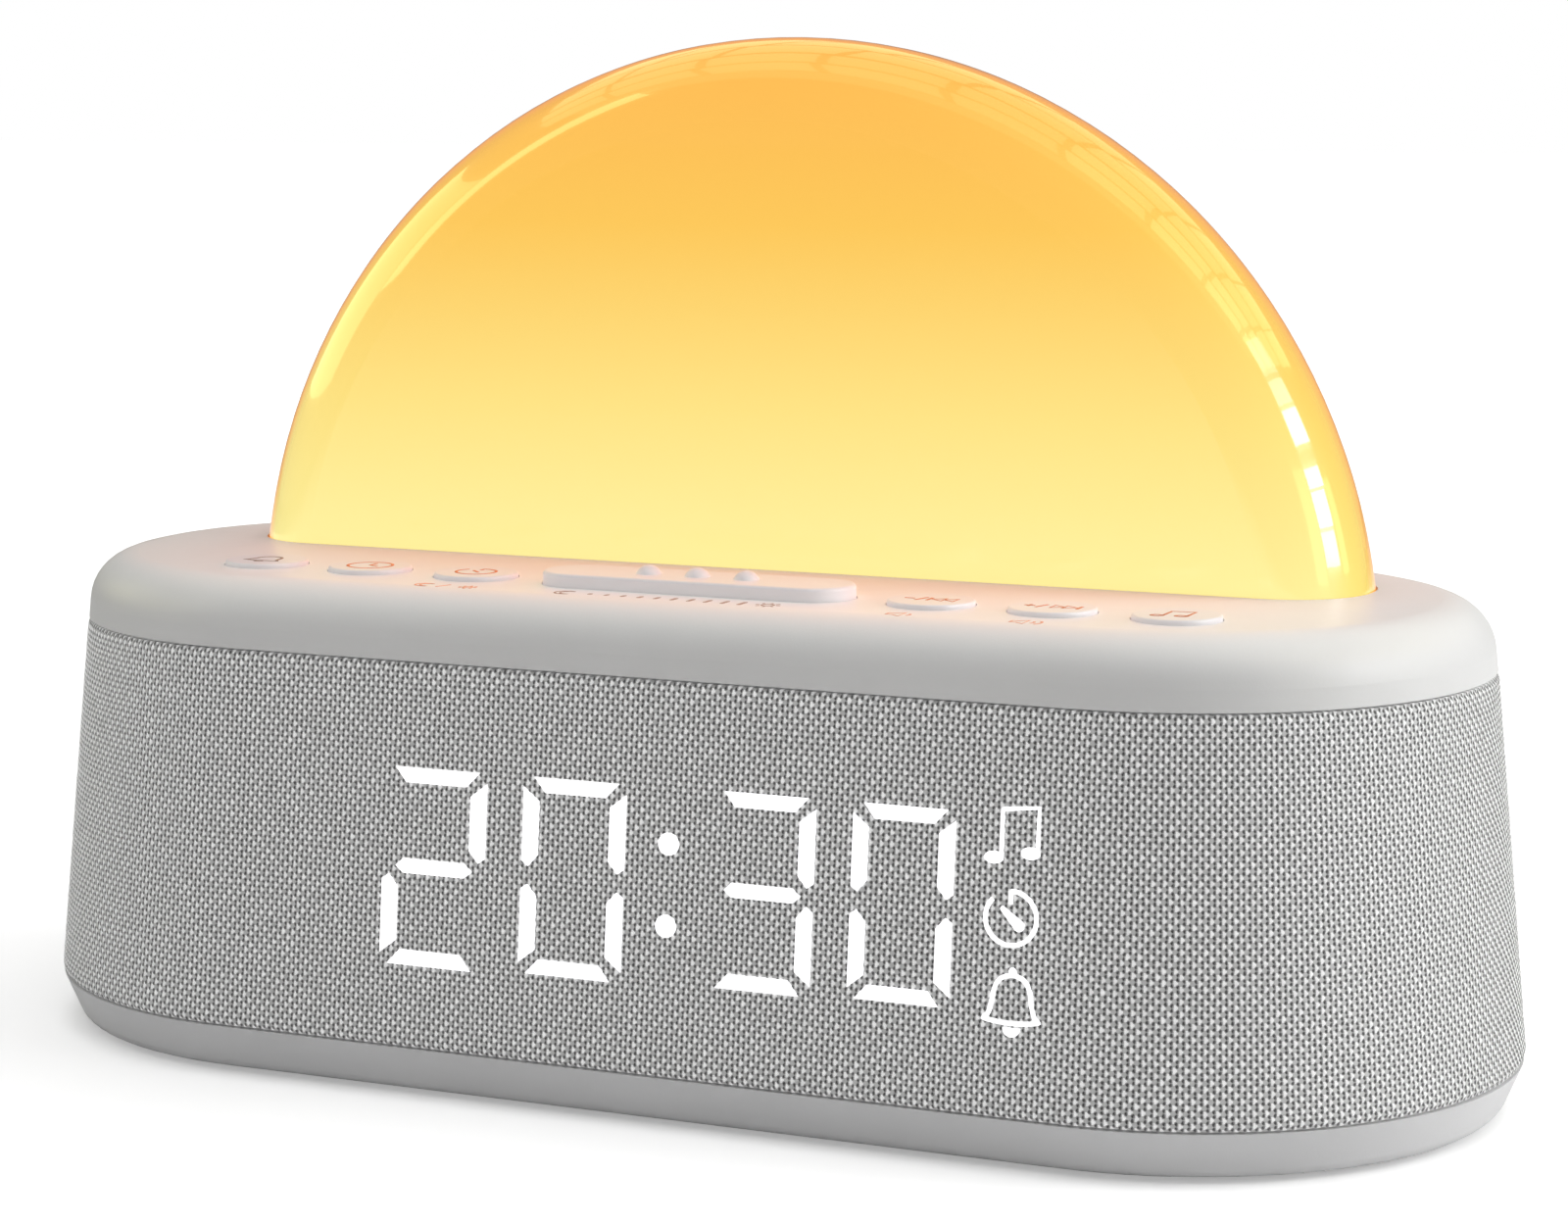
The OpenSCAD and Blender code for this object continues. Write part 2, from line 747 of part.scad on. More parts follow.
// ---- Keys ----
key_pitch = key_d + key_space;
first_key_x = bar_length / 2 + bar_space + key_d / 2;
bar_half = (bar_length - bar_depth) / 2;
key_y = key_row_inset - skin(top_seam_z);
key_edge_r = 0.3;
bar_edge_r = 0.5;
stem_r = 1.8;
stem_l = 0.8;
plunger_r = 1.7;
plunger_up = 0.8;
plunger_in = 0.6;
plunger_gap = 0.15;
switch_size = [6, 6, 3.5];
bar_switch_x = 12;
lip_bottom = ceiling_z - key_lip_t;
plunger_top = lip_bottom - stem_l;
switch_top = plunger_top - plunger_up;
key_board_top = switch_top - switch_size[2];
key_board_z = key_board_top - board_t;

function key_x(i) = row_shift + sign(i) * (first_key_x + (abs(i) - 1) * key_pitch);
function bar_stem_x(side) = row_shift + side * bar_switch_x;
key_places = [-3, -2, -1, 1, 2, 3];

// Section of a key's cap, half its width wide, with a rounded top edge.
module cap_section(half, proud, edge) {
    top = body_height + proud;
    translate([0, ceiling_z]) square([half, top - edge - ceiling_z]);
    translate([0, top - edge - 0.1]) square([half - edge, edge + 0.1]);
    intersection() {
        translate([half - edge, top - edge]) circle(r = edge);
        translate([half - edge, top - edge]) square(edge);
    }
    translate([0, lip_bottom]) square([half + key_lip_w, key_lip_t]);
}
module stem(x) translate([x, key_y, plunger_top])
    cylinder(r = stem_r, h = stem_l);
module round_key(i) {
    translate([key_x(i), key_y, 0])
        rotate_extrude() cap_section(key_d / 2, key_proud, key_edge_r);
    stem(key_x(i));
}
module plunger(x) translate([x, key_y, switch_top - plunger_in])
    cylinder(r = plunger_r, h = plunger_up + plunger_in);

module alarm_button() color("whitesmoke") round_key(-3);
module time_button() color("whitesmoke") round_key(-2);
module timer_button() color("whitesmoke") round_key(-1);
module previous_button() color("whitesmoke") round_key(1);
module next_button() color("whitesmoke") round_key(2);
module sound_button() color("whitesmoke") round_key(3);
module alarm_plunger() color("dimgray") plunger(key_x(-3));
module time_plunger() color("dimgray") plunger(key_x(-2));
module timer_plunger() color("dimgray") plunger(key_x(-1));
module previous_plunger() color("dimgray") plunger(key_x(1));
module next_plunger() color("dimgray") plunger(key_x(2));
module sound_plunger() color("dimgray") plunger(key_x(3));

// The bar is pressed in the dark, so three dots on it mark its place.
module ridge_dot() {
    ball_r = (pow(dot_d / 2, 2) + pow(dot_h, 2)) / (2 * dot_h);
    intersection() {
        translate([0, 0, dot_h - ball_r]) sphere(r = ball_r);
        translate([0, 0, -0.3]) cylinder(r = dot_d, h = dot_h + 1);
    }
}
module snooze_bar() color("whitesmoke") {
    translate([row_shift, key_y, 0]) {
        around(bar_half) cap_section(bar_depth / 2, bar_proud, bar_edge_r);
        for (i = [-1:1]) translate([i * dot_pitch, 0, body_height + bar_proud])
            ridge_dot();
    }
    for (side = [-1, 1]) stem(bar_stem_x(side));
}
module snooze_plungers() color("dimgray")
    for (side = [-1, 1]) plunger(bar_stem_x(side));

// Board under the keys, screwed to posts of the cover.
key_post_r = 2.4;
rear_post_x = [first_key_x + key_pitch / 2, first_key_x + 1.5 * key_pitch];
rear_post_y = 6.6;
front_post_x = [first_key_x - key_pitch / 2, first_key_x + 1.5 * key_pitch];
front_post_y = 7.8;
post_edge = 3.2;
key_board_side = 5;
key_board_corner = 6;
key_board_w = 2 * (first_key_x + 2 * key_pitch + key_board_side);
key_board_front = key_y - front_post_y - post_edge;
key_board_rear = key_y + rear_post_y + post_edge;
key_screw_l = board_t + 4;
module at_key_posts() {
    for (side = [-1, 1]) translate([row_shift, key_y, 0]) {
        for (x = rear_post_x) translate([side * x, rear_post_y, 0]) children();
        for (x = front_post_x) translate([side * x, -front_post_y, 0]) children();
    }
}
module key_board() color("darkgreen") difference() {
    translate([row_shift, (key_board_front + key_board_rear) / 2, key_board_z])
        plate([key_board_w, key_board_rear - key_board_front], board_t,
            key_board_corner);
    at_key_posts() translate([0, 0, key_board_z - 1])
        cylinder(r = board_screw_r + fit_gap, h = board_t + 2);
}
module key_board_screws() color("silver") at_key_posts()
    translate([0, 0, key_board_z]) screw(board_screw_r, key_screw_l);

module key_switch(x) {
    difference() {
        translate([x, key_y, key_board_top + switch_size[2] / 2])
            cube(switch_size, center = true);
        translate([x, key_y, switch_top - plunger_in - bar_travel - 0.2])
            cylinder(r = plunger_r + plunger_gap, h = switch_size[2]);
    }
}
module key_switches() color("black") {
    for (i = key_places) key_switch(key_x(i));
    for (side = [-1, 1]) key_switch(bar_stem_x(side));
}

module top_cover() color("whitesmoke") difference() {
    union() {
        around() cover_section();
        at_cover_posts() translate([0, 0, cover_post_low])
            cylinder(r = cover_post_r, h = ceiling_z - cover_post_low + 0.5);
        at_tray_posts() translate([0, 0, flange_z])
            cylinder(r = tray_post_r, h = flange_t + 0.5);
        at_key_posts() translate([0, 0, key_board_top])
            cylinder(r = key_post_r, h = ceiling_z - key_board_top + 0.5);
    }
    lamp_form(slot_gap);
    for (i = key_places) translate([key_x(i), key_y, ceiling_z - 1])
        cylinder(r = key_d / 2 + key_gap, h = top_wall + 2);
    translate([row_shift, key_y, 0]) around(bar_half) translate([0, ceiling_z - 1])
        square([bar_depth / 2 + key_gap, top_wall + 2]);
    at_cover_posts() translate([0, 0, cover_post_low - 1])
        cylinder(r = case_screw_r + screw_gap, h = cover_screw_l - ear_t + 2);
    at_tray_posts() translate([0, 0, flange_z - 1])
        cylinder(r = board_screw_r + screw_gap, h = tray_screw_l - lug_plate_t + 1.2);
    at_key_posts() translate([0, 0, key_board_top - 1])
        cylinder(r = board_screw_r + screw_gap, h = key_screw_l - board_t + 1.4);
}
module cover_screws() color("silver") at_cover_posts()
    translate([0, 0, ear_z]) screw(case_screw_r, cover_screw_l);

// ---- Display ----
// A segment is a list of points, leaned over as the digits are.
function leaned(points) = [for (p = points) [p[0] + p[1] * tan(digit_lean), p[1]]];
digit_places = [
    colon_x - colon_space - digit_pitch, colon_x - colon_space,
    colon_x + colon_space, colon_x + colon_space + digit_pitch
];
segment_gap = 0.35;
// Half a digit's outline: its top bar, its upper right bar and its middle bar.
function top_bar() = let (w = digit_w / 2, h = digit_h / 2, g = segment_gap) [
    [-w + g, h], [w - g, h], [w - g - stroke, h - stroke], [-w + g + stroke, h - stroke]
];
function side_bar() = let (w = digit_w / 2, h = digit_h / 2, g = segment_gap) [
    [w, h - g], [w, g], [w - stroke / 2, g], [w - stroke, stroke / 2 + g],
    [w - stroke, h - g - stroke]
];
function middle_bar() = let (w = digit_w / 2 - stroke / 2 - segment_gap, s = stroke / 2) [
    [-w, 0], [-w + s, s], [w - s, s], [w, 0], [w - s, -s], [-w + s, -s]
];
function flipped(points, sx, sy) = [for (p = points) [p[0] * sx, p[1] * sy]];
segments = concat(
    [for (sy = [-1, 1]) flipped(top_bar(), 1, sy)],
    [for (sx = [-1, 1], sy = [-1, 1]) flipped(side_bar(), sx, sy)],
    [middle_bar()]
);
segment_centres = [
    [0, -digit_h / 2 + stroke / 2], [0, digit_h / 2 - stroke / 2],
    [-digit_w / 2 + stroke / 2, -digit_h / 4], [-digit_w / 2 + stroke / 2, digit_h / 4],
    [digit_w / 2 - stroke / 2, -digit_h / 4], [digit_w / 2 - stroke / 2, digit_h / 4],
    [0, 0]
];
colon_r = stroke * 0.7;
colon_rise = 5.4;

module display_windows() {
    for (x = digit_places, s = segments) translate([x, 0]) polygon(leaned(s));
    for (side = [-1, 1])
        translate([colon_x + side * colon_rise * tan(digit_lean), side * colon_rise])
            circle(r = colon_r);
    for (i = [-1:1]) translate([colon_x + icon_space, i * icon_pitch])
        square(icon_size, center = true);
}

module display_diffuser() color("lightgray") on_display()
    translate([-box_w / 2, -box_h / 2, housing_back - film_t])
        cube([box_w, box_h, film_t]);

module display_light_box() color("white") on_display()
    translate([0, 0, box_back]) difference() {
        translate([-box_w / 2, -box_h / 2, 0]) cube([box_w, box_h, box_t]);
        translate([0, 0, -1]) linear_extrude(height = box_t + 2) display_windows();
    }

display_led = [1.2, 1.2, 0.6];
module display_led_at(p) translate([p[0], p[1], display_led[2] / 2])
    cube(display_led, center = true);
module display_leds() color("white") on_display() translate([0, 0, box_back]) {
    for (x = digit_places, p = leaned(segment_centres)) display_led_at([x + p[0], p[1]]);
    for (side = [-1, 1])
        display_led_at([colon_x + side * colon_rise * tan(digit_lean),
            side * colon_rise]);
    for (i = [-1:1]) display_led_at([colon_x + icon_space, i * icon_pitch]);
}

display_board_h = 2 * (display_post_y + display_post_r);
module display_board() color("darkgreen") on_display() difference() {
    translate([0, 0, box_back - board_t])
        plate([box_w, display_board_h], board_t, 1.5);
    at_display_posts() translate([0, 0, box_back - board_t - 1])
        cylinder(r = board_screw_r + fit_gap, h = board_t + 2);
}
module display_screws() color("silver") on_display() at_display_posts()
    translate([0, 0, box_back - board_t]) screw(board_screw_r, board_t + 4.2);

// ---- Main board and power inlet ----
module main_board() color("darkgreen") difference() {
    translate([main_x, main_y, main_z]) plate([main_w, main_d], board_t, 1.5);
    at_main_posts() translate([0, 0, main_z - 1])
        cylinder(r = board_screw_r + fit_gap, h = board_t + 2);
}
module main_board_screws() color("silver") at_main_posts()
    translate([0, 0, main_top]) mirror([0, 0, 1]) screw(board_screw_r, board_t + 4.5);

// Parts on the main board are placed from its middle.
module on_main(x, y) translate([main_x + x, main_y + y, main_top]) children();
chip_size = [10, 10, 1.2];
chip_at = [8, -4];
module main_chip() color("black") on_main(chip_at[0], chip_at[1])
    translate([0, 0, chip_size[2] / 2]) cube(chip_size, center = true);
radio_size = [15, 12, 2.4];
radio_at = [26, -3.5];
module radio_module() color("silver") on_main(radio_at[0], radio_at[1])
    translate([0, 0, radio_size[2] / 2]) cube(radio_size, center = true);
capacitor_r = 4;
capacitor_h = 10.5;
capacitor_x = [-8, 1];
capacitor_y = 10;
module power_capacitors() color("darkslategray")
    for (x = capacitor_x) on_main(x, capacitor_y)
        cylinder(r = capacitor_r, h = capacitor_h);

jack_front_gap = 0.3;
panel_lip = 1.2;
panel_lip_w = 1.6;
panel_inner = housing_back - panel_lip;
jack_front = skin(jack_axis_z + jack_size[2] / 2) + panel_inner / lean_cos - jack_front_gap;
jack_depth = 10;
jack_pin_l = 9;
module power_jack() color("black") translate([jack_x, jack_front, jack_axis_z]) {
    difference() {
        translate([-jack_size[0] / 2, -jack_size[1], main_top - jack_axis_z])
            cube(jack_size);
        rotate([90, 0, 0]) translate([0, 0, -1])
            cylinder(r = jack_bore_r, h = jack_depth + 1);
    }
    translate([0, -jack_depth - 1, 0]) rotate([-90, 0, 0])
        cylinder(r = jack_pin_r, h = jack_pin_l + 1);
}

panel_face = -0.1;
panel_hole_r = 4.2;
module port_panel() color("gainsboro") difference() {
    on_rear(jack_x, panel_z) {
        translate([0, 0, housing_back])
            plate([panel_w, panel_h], panel_face - housing_back, 2);
        translate([0, 0, panel_inner])
            plate([panel_w + 2 * panel_lip_w, panel_h + 2 * panel_lip_w], panel_lip, 2);
    }
    translate([jack_x, 0, jack_axis_z]) rotate([-90, 0, 0])
        cylinder(r = panel_hole_r, h = body_depth);
}

// ---- Sockets and wires ----
socket_h = 5;
lamp_socket_x = 0;
speaker_socket = [-main_w / 2 + 4, 0];
ribbon_w = 10;
ribbon_t = 0.6;
key_ribbon_x = -11;
display_ribbon_x = 26;
ribbon_socket_y = main_y - main_d / 2 + 3;
display_socket_v = -9;
module socket_block(size) translate([0, 0, size[2] / 2]) cube(size, center = true);
module board_sockets() color("ivory") {
    translate([lamp_socket_x, lamp_y, main_top]) socket_block([8, 5, socket_h]);
    translate([lamp_socket_x, lamp_y, light_board_z - socket_h])
        socket_block([8, 5, socket_h]);
    on_main(speaker_socket[0], speaker_socket[1]) socket_block([5, 8, socket_h]);
    translate([key_ribbon_x, ribbon_socket_y, main_top])
        socket_block([ribbon_w + 3, 4, 3]);
    translate([display_ribbon_x, ribbon_socket_y, main_top])
        socket_block([ribbon_w + 3, 4, 3]);
    translate([key_ribbon_x, key_board_rear - 3, key_board_z - 3])
        socket_block([ribbon_w + 3, 4, 3]);
    on_front(display_ribbon_x, display_z)
        translate([0, display_socket_v, box_back - board_t - 3])
            socket_block([ribbon_w + 3, 4, 3]);
}

// A flat ribbon: a line of points in the YZ plane, given a thickness.
function ribbon_side(points, half) = [
    for (i = [0:len(points) - 1])
        let (a = points[max(i - 1, 0)], b = points[min(i + 1, len(points) - 1)],
            d = (b - a) / norm(b - a))
        points[i] + half * [-d[1], d[0]]
];
function backwards(list) = [for (i = [len(list) - 1:-1:0]) list[i]];
module ribbon(x, points) {
    translate([x - ribbon_w / 2, 0, 0]) rotate([90, 0, 90])
        linear_extrude(height = ribbon_w)
            polygon(concat(ribbon_side(points, ribbon_t / 2),
                backwards(ribbon_side(points, -ribbon_t / 2))));
}
key_ribbon_top = [key_board_rear - 3, key_board_z - 3];
ribbon_foot = [ribbon_socket_y, main_top + 3];
display_ribbon_top = [
    -skin(display_z) - (box_back - board_t - 3) * lean_cos
        + display_socket_v * sin(side_lean),
    display_z + (box_back - board_t - 3) * sin(side_lean) + display_socket_v * lean_cos
];
module board_ribbons() color("lightgray") {
    ribbon(key_ribbon_x, [
        key_ribbon_top, key_ribbon_top + [0, -6], key_ribbon_top + [1.5, -12],
        [key_ribbon_top[0] + 5, face_z - 1], [ribbon_foot[0] - 3, ribbon_foot[1] + 9],
        ribbon_foot + [0, 4], ribbon_foot
    ]);
    ribbon(display_ribbon_x, [
        display_ribbon_top, display_ribbon_top + 3 * [lean_cos, -sin(side_lean)],
        display_ribbon_top + [8, -1], display_ribbon_top + [14, -2.5],
        ribbon_foot + [-14, 4.5], ribbon_foot + [-6, 4.8], ribbon_foot + [-2.5, 4.3],
        ribbon_foot + [-0.7, 3.2], ribbon_foot + [0, 1.8], ribbon_foot
    ]);
}

// A wire is one tube swept along a smooth curve through its points.
function curve_point(p, i, u) = let (
        a = p[max(i - 1, 0)], b = p[i], c = p[i + 1], d = p[min(i + 2, len(p) - 1)])
    0.5 * (2 * b + (c - a) * u + (2 * a - 5 * b + 4 * c - d) * pow(u, 2)
        + (3 * b - a - 3 * c + d) * pow(u, 3));
function smooth(p, steps) = concat(
    [for (i = [0:len(p) - 2], k = [0:steps - 1]) curve_point(p, i, k / steps)],
    [p[len(p) - 1]]);
wire_sides = 8;
module wire(points, r, across) {
    line = smooth(points, 4);
    count = len(line);
    ring_points = [
        for (i = [0:count - 1])
            let (d = line[min(i + 1, count - 1)] - line[max(i - 1, 0)],
                u = cross(d, across) / norm(cross(d, across)),
                v = cross(u, d) / norm(cross(u, d)))
            for (k = [0:wire_sides - 1])
                line[i] + r * (cos(k * 360 / wire_sides) * u + sin(k * 360 / wire_sides) * v)
    ];
    quads = [
        for (i = [0:count - 2], k = [0:wire_sides - 1])
            let (a = i * wire_sides + k, b = i * wire_sides + (k + 1) % wire_sides)
            each [[a, b, b + wire_sides], [a, b + wire_sides, a + wire_sides]]
    ];
    ends = [
        for (k = [1:wire_sides - 2])
            each [[0, k + 1, k], [(count - 1) * wire_sides, (count - 1) * wire_sides + k,
                (count - 1) * wire_sides + k + 1]]
    ];
    polyhedron(points = ring_points, faces = [for (f = concat(quads, ends)) backwards(f)]);
}
wire_r = 0.7;
// Routes between the sockets, as points chosen by hand from each end.
lamp_low = [lamp_socket_x, lamp_y, main_top + socket_h + 0.1];
lamp_high = [lamp_socket_x, lamp_y, light_board_z - socket_h - 0.1];
module lamp_leads() color("firebrick")
    for (side = [-1, 1])
        wire([
            lamp_low + [side * 1.5, 0, 0], lamp_low + [side * 1.5, 0, 6],
            [lamp_socket_x + side * 2 + 3, lamp_y + 2, face_z],
            lamp_high + [side * 1.5, 0, -6], lamp_high + [side * 1.5, 0, 0]
        ], wire_r, [0, 1, 0]);
module speaker_leads() color("black") {
    // from the tag at the side of the speaker's frame to the main board
    tag = [speaker_x + tag_reach + 0.2, -skin(face_z) + speaker_depth + tag_t + 1, face_z];
    plug = [main_x + speaker_socket[0] - 2.8, main_y + speaker_socket[1],
        main_top + socket_h / 2];
    for (side = [-1, 1])
        wire([
            tag + [0, 0, side * 1.5], tag + [4, 1, side * 1.5],
            tag + [8, 10, side * 1.5 - 3], tag + [7, 24, side * 1.5 - 10],
            plug + [-9, -10, side * 1.5 + 4], plug + [-5, -2, side * 1.5],
            plug + [0, 0, side * 1.5]
        ], wire_r, [0, 0, 1]);
}

// ---- Speaker ----
// Depths from the front plane of the speaker, into the clock.
gasket_t = 0.8;
rim_t = 1.2;
rim_in = speaker_r - speaker_rim;
rim_back = gasket_t + rim_t;
roll_r = 1.55;
paper_t = 0.4;
roll_c = rim_in - 1.3;
cone_out = roll_c - roll_r + 0.4;
neck_t = 5;
spider_t = 7.1;
ledge_t = spider_t + 0.3;
back_t = 10;
plate_t = 1.5;
coil_gap = 0.5;
pole_r = coil_r - 0.4 - coil_gap;
front_plate = back_t + 1;
magnet_front = front_plate + plate_t;
yoke_front = magnet_front + magnet_t;
tag_reach = speaker_r + 1;
tag_t = 3.5;

module speaker_frame() color("dimgray") on_speaker() difference() {
    ledge_in = magnet_r + 0.7;
    union() {
        rotate_extrude() polygon([
            [speaker_r, gasket_t], [speaker_r, rim_back],
            [rim_in + 1.4, rim_back], [ledge_in + 2.4, ledge_t + 0.2],
            [ledge_in + 2.4, ledge_t + 1], [magnet_r + 1.7, ledge_t + 1.2],
            [magnet_r + 1.7, front_plate], [coil_r + 0.7, front_plate],
            [coil_r + 0.7, back_t], [ledge_in, back_t],
            [ledge_in, ledge_t], [ledge_in + 1.4, ledge_t],
            [rim_in, rim_back], [rim_in, gasket_t]
        ]);
        at_speaker_lugs() difference() {
            translate([0, 0, gasket_t]) cylinder(r = speaker_lug_r, h = rim_t);
            translate([-speaker_lug_at, 0, gasket_t - 1])
                cylinder(r = rim_in + 1, h = rim_t + 2);
        }
        translate([rim_in, -3, tag_t]) cube([tag_reach - rim_in, 6, 1]);
        translate([rim_in, -3, gasket_t]) cube([1.4, 6, tag_t - gasket_t + 1]);
    }
    at_speaker_lugs() cylinder(r = speaker_screw_r + fit_gap, h = rim_back + 1);
    // open windows in the basket
    for (turn = [90, 180, 270]) rotate([0, 0, turn])
        translate([ledge_in - 1, -4.5, rim_back + 1]) cube([8, 9, ledge_t - rim_back - 1.8]);
}
module speaker_gasket() color("black") on_speaker() difference() {
    cylinder(r = speaker_r - 0.5, h = gasket_t);
    translate([0, 0, -1]) cylinder(r = speaker_r - 1.5, h = gasket_t + 2);
}
module speaker_screws() color("silver") on_speaker() at_speaker_lugs()
    translate([0, 0, rim_back]) mirror([0, 0, 1]) screw(speaker_screw_r, rim_back + 3);

module speaker_surround() color("black") on_speaker() rotate_extrude() {
    intersection() {
        translate([roll_c, gasket_t]) difference() {
            circle(r = roll_r);
            circle(r = roll_r - paper_t);
        }
        translate([0, gasket_t - 2 * roll_r]) square([speaker_r, 2 * roll_r]);
    }
    translate([roll_c + roll_r - paper_t, gasket_t - paper_t])
        square([speaker_r - 1.7 - roll_c - roll_r + paper_t, paper_t]);
    translate([roll_c - roll_r - 0.9, gasket_t - paper_t])
        square([0.9 + paper_t, paper_t]);
}
module speaker_cone() color("dimgray") on_speaker() rotate_extrude() polygon([
    [cone_out, gasket_t], [cone_out, gasket_t + 0.5],
    [coil_r + 0.05, neck_t + 0.6], [coil_r + 0.05, neck_t],
    [cone_out - 0.9, gasket_t]
]);
module speaker_dust_cap() color("black") on_speaker() rotate_extrude() {
    // sits on the cone, just outside the coil
    edge_r = coil_r + 0.9;
    edge_t = neck_t - 0.75;
    rise = 1.8;
    ball_r = (pow(edge_r, 2) + pow(rise, 2)) / (2 * rise);
    intersection() {
        translate([0, edge_t - rise + ball_r]) difference() {
            circle(r = ball_r);
            circle(r = ball_r - 0.3);
        }
        translate([0, edge_t - rise - 1]) square([edge_r, rise + 1]);
    }
}
module voice_coil() color("chocolate") on_speaker() difference() {
    coil_l = front_plate + plate_t - neck_t;
    translate([0, 0, neck_t - 0.3]) cylinder(r = coil_r, h = coil_l);
    translate([0, 0, neck_t - 1]) cylinder(r = coil_r - 0.4, h = coil_l + 2);
}
module speaker_spider() color("goldenrod") on_speaker() {
    inner = coil_r + 0.1;
    outer = magnet_r + 1.9;
    ledge = 1.1;
    waves = 3;
    // flat where it is glued, with waves between
    line = concat([[inner, spider_t]],
        [for (i = [0:2 * waves])
            [inner + 0.4 + (outer - ledge - inner - 0.4) * i / (2 * waves),
                spider_t - (i % 2) * 0.5]],
        [[outer, spider_t]]);
    rotate_extrude() polygon(concat(line,
        backwards([for (p = line) p + [0, 0.3]])));
}
module speaker_magnet() color("darkslategray") on_speaker() difference() {
    translate([0, 0, magnet_front]) cylinder(r = magnet_r, h = magnet_t);
    translate([0, 0, magnet_front - 1]) cylinder(r = coil_r + 1.4, h = magnet_t + 2);
}
// The front plate, and the back plate with its pole, as the steel around the magnet.
module speaker_yoke() color("silver") on_speaker() {
    difference() {
        translate([0, 0, front_plate]) cylinder(r = magnet_r, h = plate_t);
        translate([0, 0, front_plate - 1]) cylinder(r = coil_r + coil_gap, h = plate_t + 2);
    }
    translate([0, 0, yoke_front]) cylinder(r = magnet_r, h = plate_t);
    translate([0, 0, front_plate]) cylinder(r = pole_r, h = yoke_front - front_plate + 0.5);
}

base();
housing();
fabric_sleeve();
top_cover();
lamp_dome();
light_tray();
light_board();
light_leds();
light_board_screws();
light_tray_screws();
alarm_button();
time_button();
timer_button();
snooze_bar();
previous_button();
next_button();
sound_button();
alarm_plunger();
time_plunger();
timer_plunger();
snooze_plungers();
previous_plunger();
next_plunger();
sound_plunger();
key_board();
key_switches();
key_board_screws();
display_board();
display_leds();
display_light_box();
display_diffuser();
display_screws();
main_board();
main_chip();
radio_module();
power_capacitors();
board_sockets();
main_board_screws();
power_jack();
port_panel();
battery_holder();
battery_contacts();
coin_cell();
battery_cap();
speaker_frame();
speaker_gasket();
speaker_surround();
speaker_cone();
speaker_dust_cap();
voice_coil();
speaker_spider();
speaker_magnet();
speaker_yoke();
speaker_screws();
feet();
base_screws();
cover_screws();
speaker_leads();
lamp_leads();
board_ribbons();
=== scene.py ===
# %% [markdown]
# # A sunrise alarm clock
# A half-disc wake-up lamp stands on a long, round-ended body that is wrapped in woven cloth.
# The hard shells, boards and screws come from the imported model, which is loaded as a fixed
# frame. This lesson gives them their finishes, weaves the cloth, lights the digits and icons,
# prints the small signs on the keys, and sets a plain studio around the clock.

# %% Load the fixed frame and keep its size
import json
import math
import bmesh
import bpy
from mathutils import Matrix, Vector


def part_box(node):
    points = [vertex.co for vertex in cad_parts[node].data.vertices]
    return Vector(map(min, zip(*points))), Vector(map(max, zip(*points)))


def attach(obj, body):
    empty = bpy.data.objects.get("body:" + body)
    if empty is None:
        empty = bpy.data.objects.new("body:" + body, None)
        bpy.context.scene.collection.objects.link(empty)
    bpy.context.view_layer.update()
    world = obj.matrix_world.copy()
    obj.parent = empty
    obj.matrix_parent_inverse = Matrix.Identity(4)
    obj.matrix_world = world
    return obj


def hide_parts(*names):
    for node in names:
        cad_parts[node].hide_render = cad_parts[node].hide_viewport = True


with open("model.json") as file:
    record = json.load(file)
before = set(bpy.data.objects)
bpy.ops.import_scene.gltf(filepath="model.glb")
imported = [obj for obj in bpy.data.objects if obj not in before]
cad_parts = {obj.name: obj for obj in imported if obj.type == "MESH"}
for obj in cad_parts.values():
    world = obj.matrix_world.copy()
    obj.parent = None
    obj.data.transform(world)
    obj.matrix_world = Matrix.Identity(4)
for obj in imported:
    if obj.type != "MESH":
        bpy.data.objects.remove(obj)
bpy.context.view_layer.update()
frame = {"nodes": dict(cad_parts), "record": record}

MM = 0.001
nodes = frame["nodes"]
print("nodes in the frame:", len(nodes))

# %% [markdown]
# ## The camera
# The clock is seen a little from the right and from just above the body. The lens is long,
# so the picture plane is hardly tilted. The three axes of the camera are worked out from its
# azimuth and elevation, and a small shift moves the frame without turning the view.

# %% Place the camera
AZIMUTH, ELEVATION = math.radians(24.18), math.radians(7.02)
CAMERA_AT = Vector((208.86, -465.25, 132.78)) * MM
FOCAL_PX, CENTRE_PX, IMAGE_PX = 3854, (775.9, 551.8), (1600, 1250)
SENSOR_W = 36

toward = Vector((math.sin(AZIMUTH) * math.cos(ELEVATION),
                 -math.cos(AZIMUTH) * math.cos(ELEVATION), math.sin(ELEVATION)))
rightward = Vector((math.cos(AZIMUTH), math.sin(AZIMUTH), 0))
upward = toward.cross(rightward)
turn = Matrix((rightward, upward, toward)).transposed().to_4x4()
camera_data = bpy.data.cameras.new("camera")
camera_data.sensor_width = SENSOR_W
camera_data.lens = FOCAL_PX * SENSOR_W / IMAGE_PX[0]
camera_data.shift_x = (IMAGE_PX[0] / 2 - CENTRE_PX[0]) / IMAGE_PX[0]
camera_data.shift_y = (CENTRE_PX[1] - IMAGE_PX[1] / 2) / IMAGE_PX[0]
camera_data.clip_start = 0.01
camera = bpy.data.objects.new("camera", camera_data)
camera.matrix_world = Matrix.Translation(CAMERA_AT) @ turn
scene = bpy.context.scene
scene.collection.objects.link(camera)
scene.camera = camera
scene.view_settings.view_transform = "Standard"
print("lens", round(camera_data.lens, 2), "mm")

# %% [markdown]
# ## Shader helpers
# Every finish below is a small network of shader nodes. These helpers add a node, wire two
# sockets and do sums, so that each recipe reads like a list of steps.

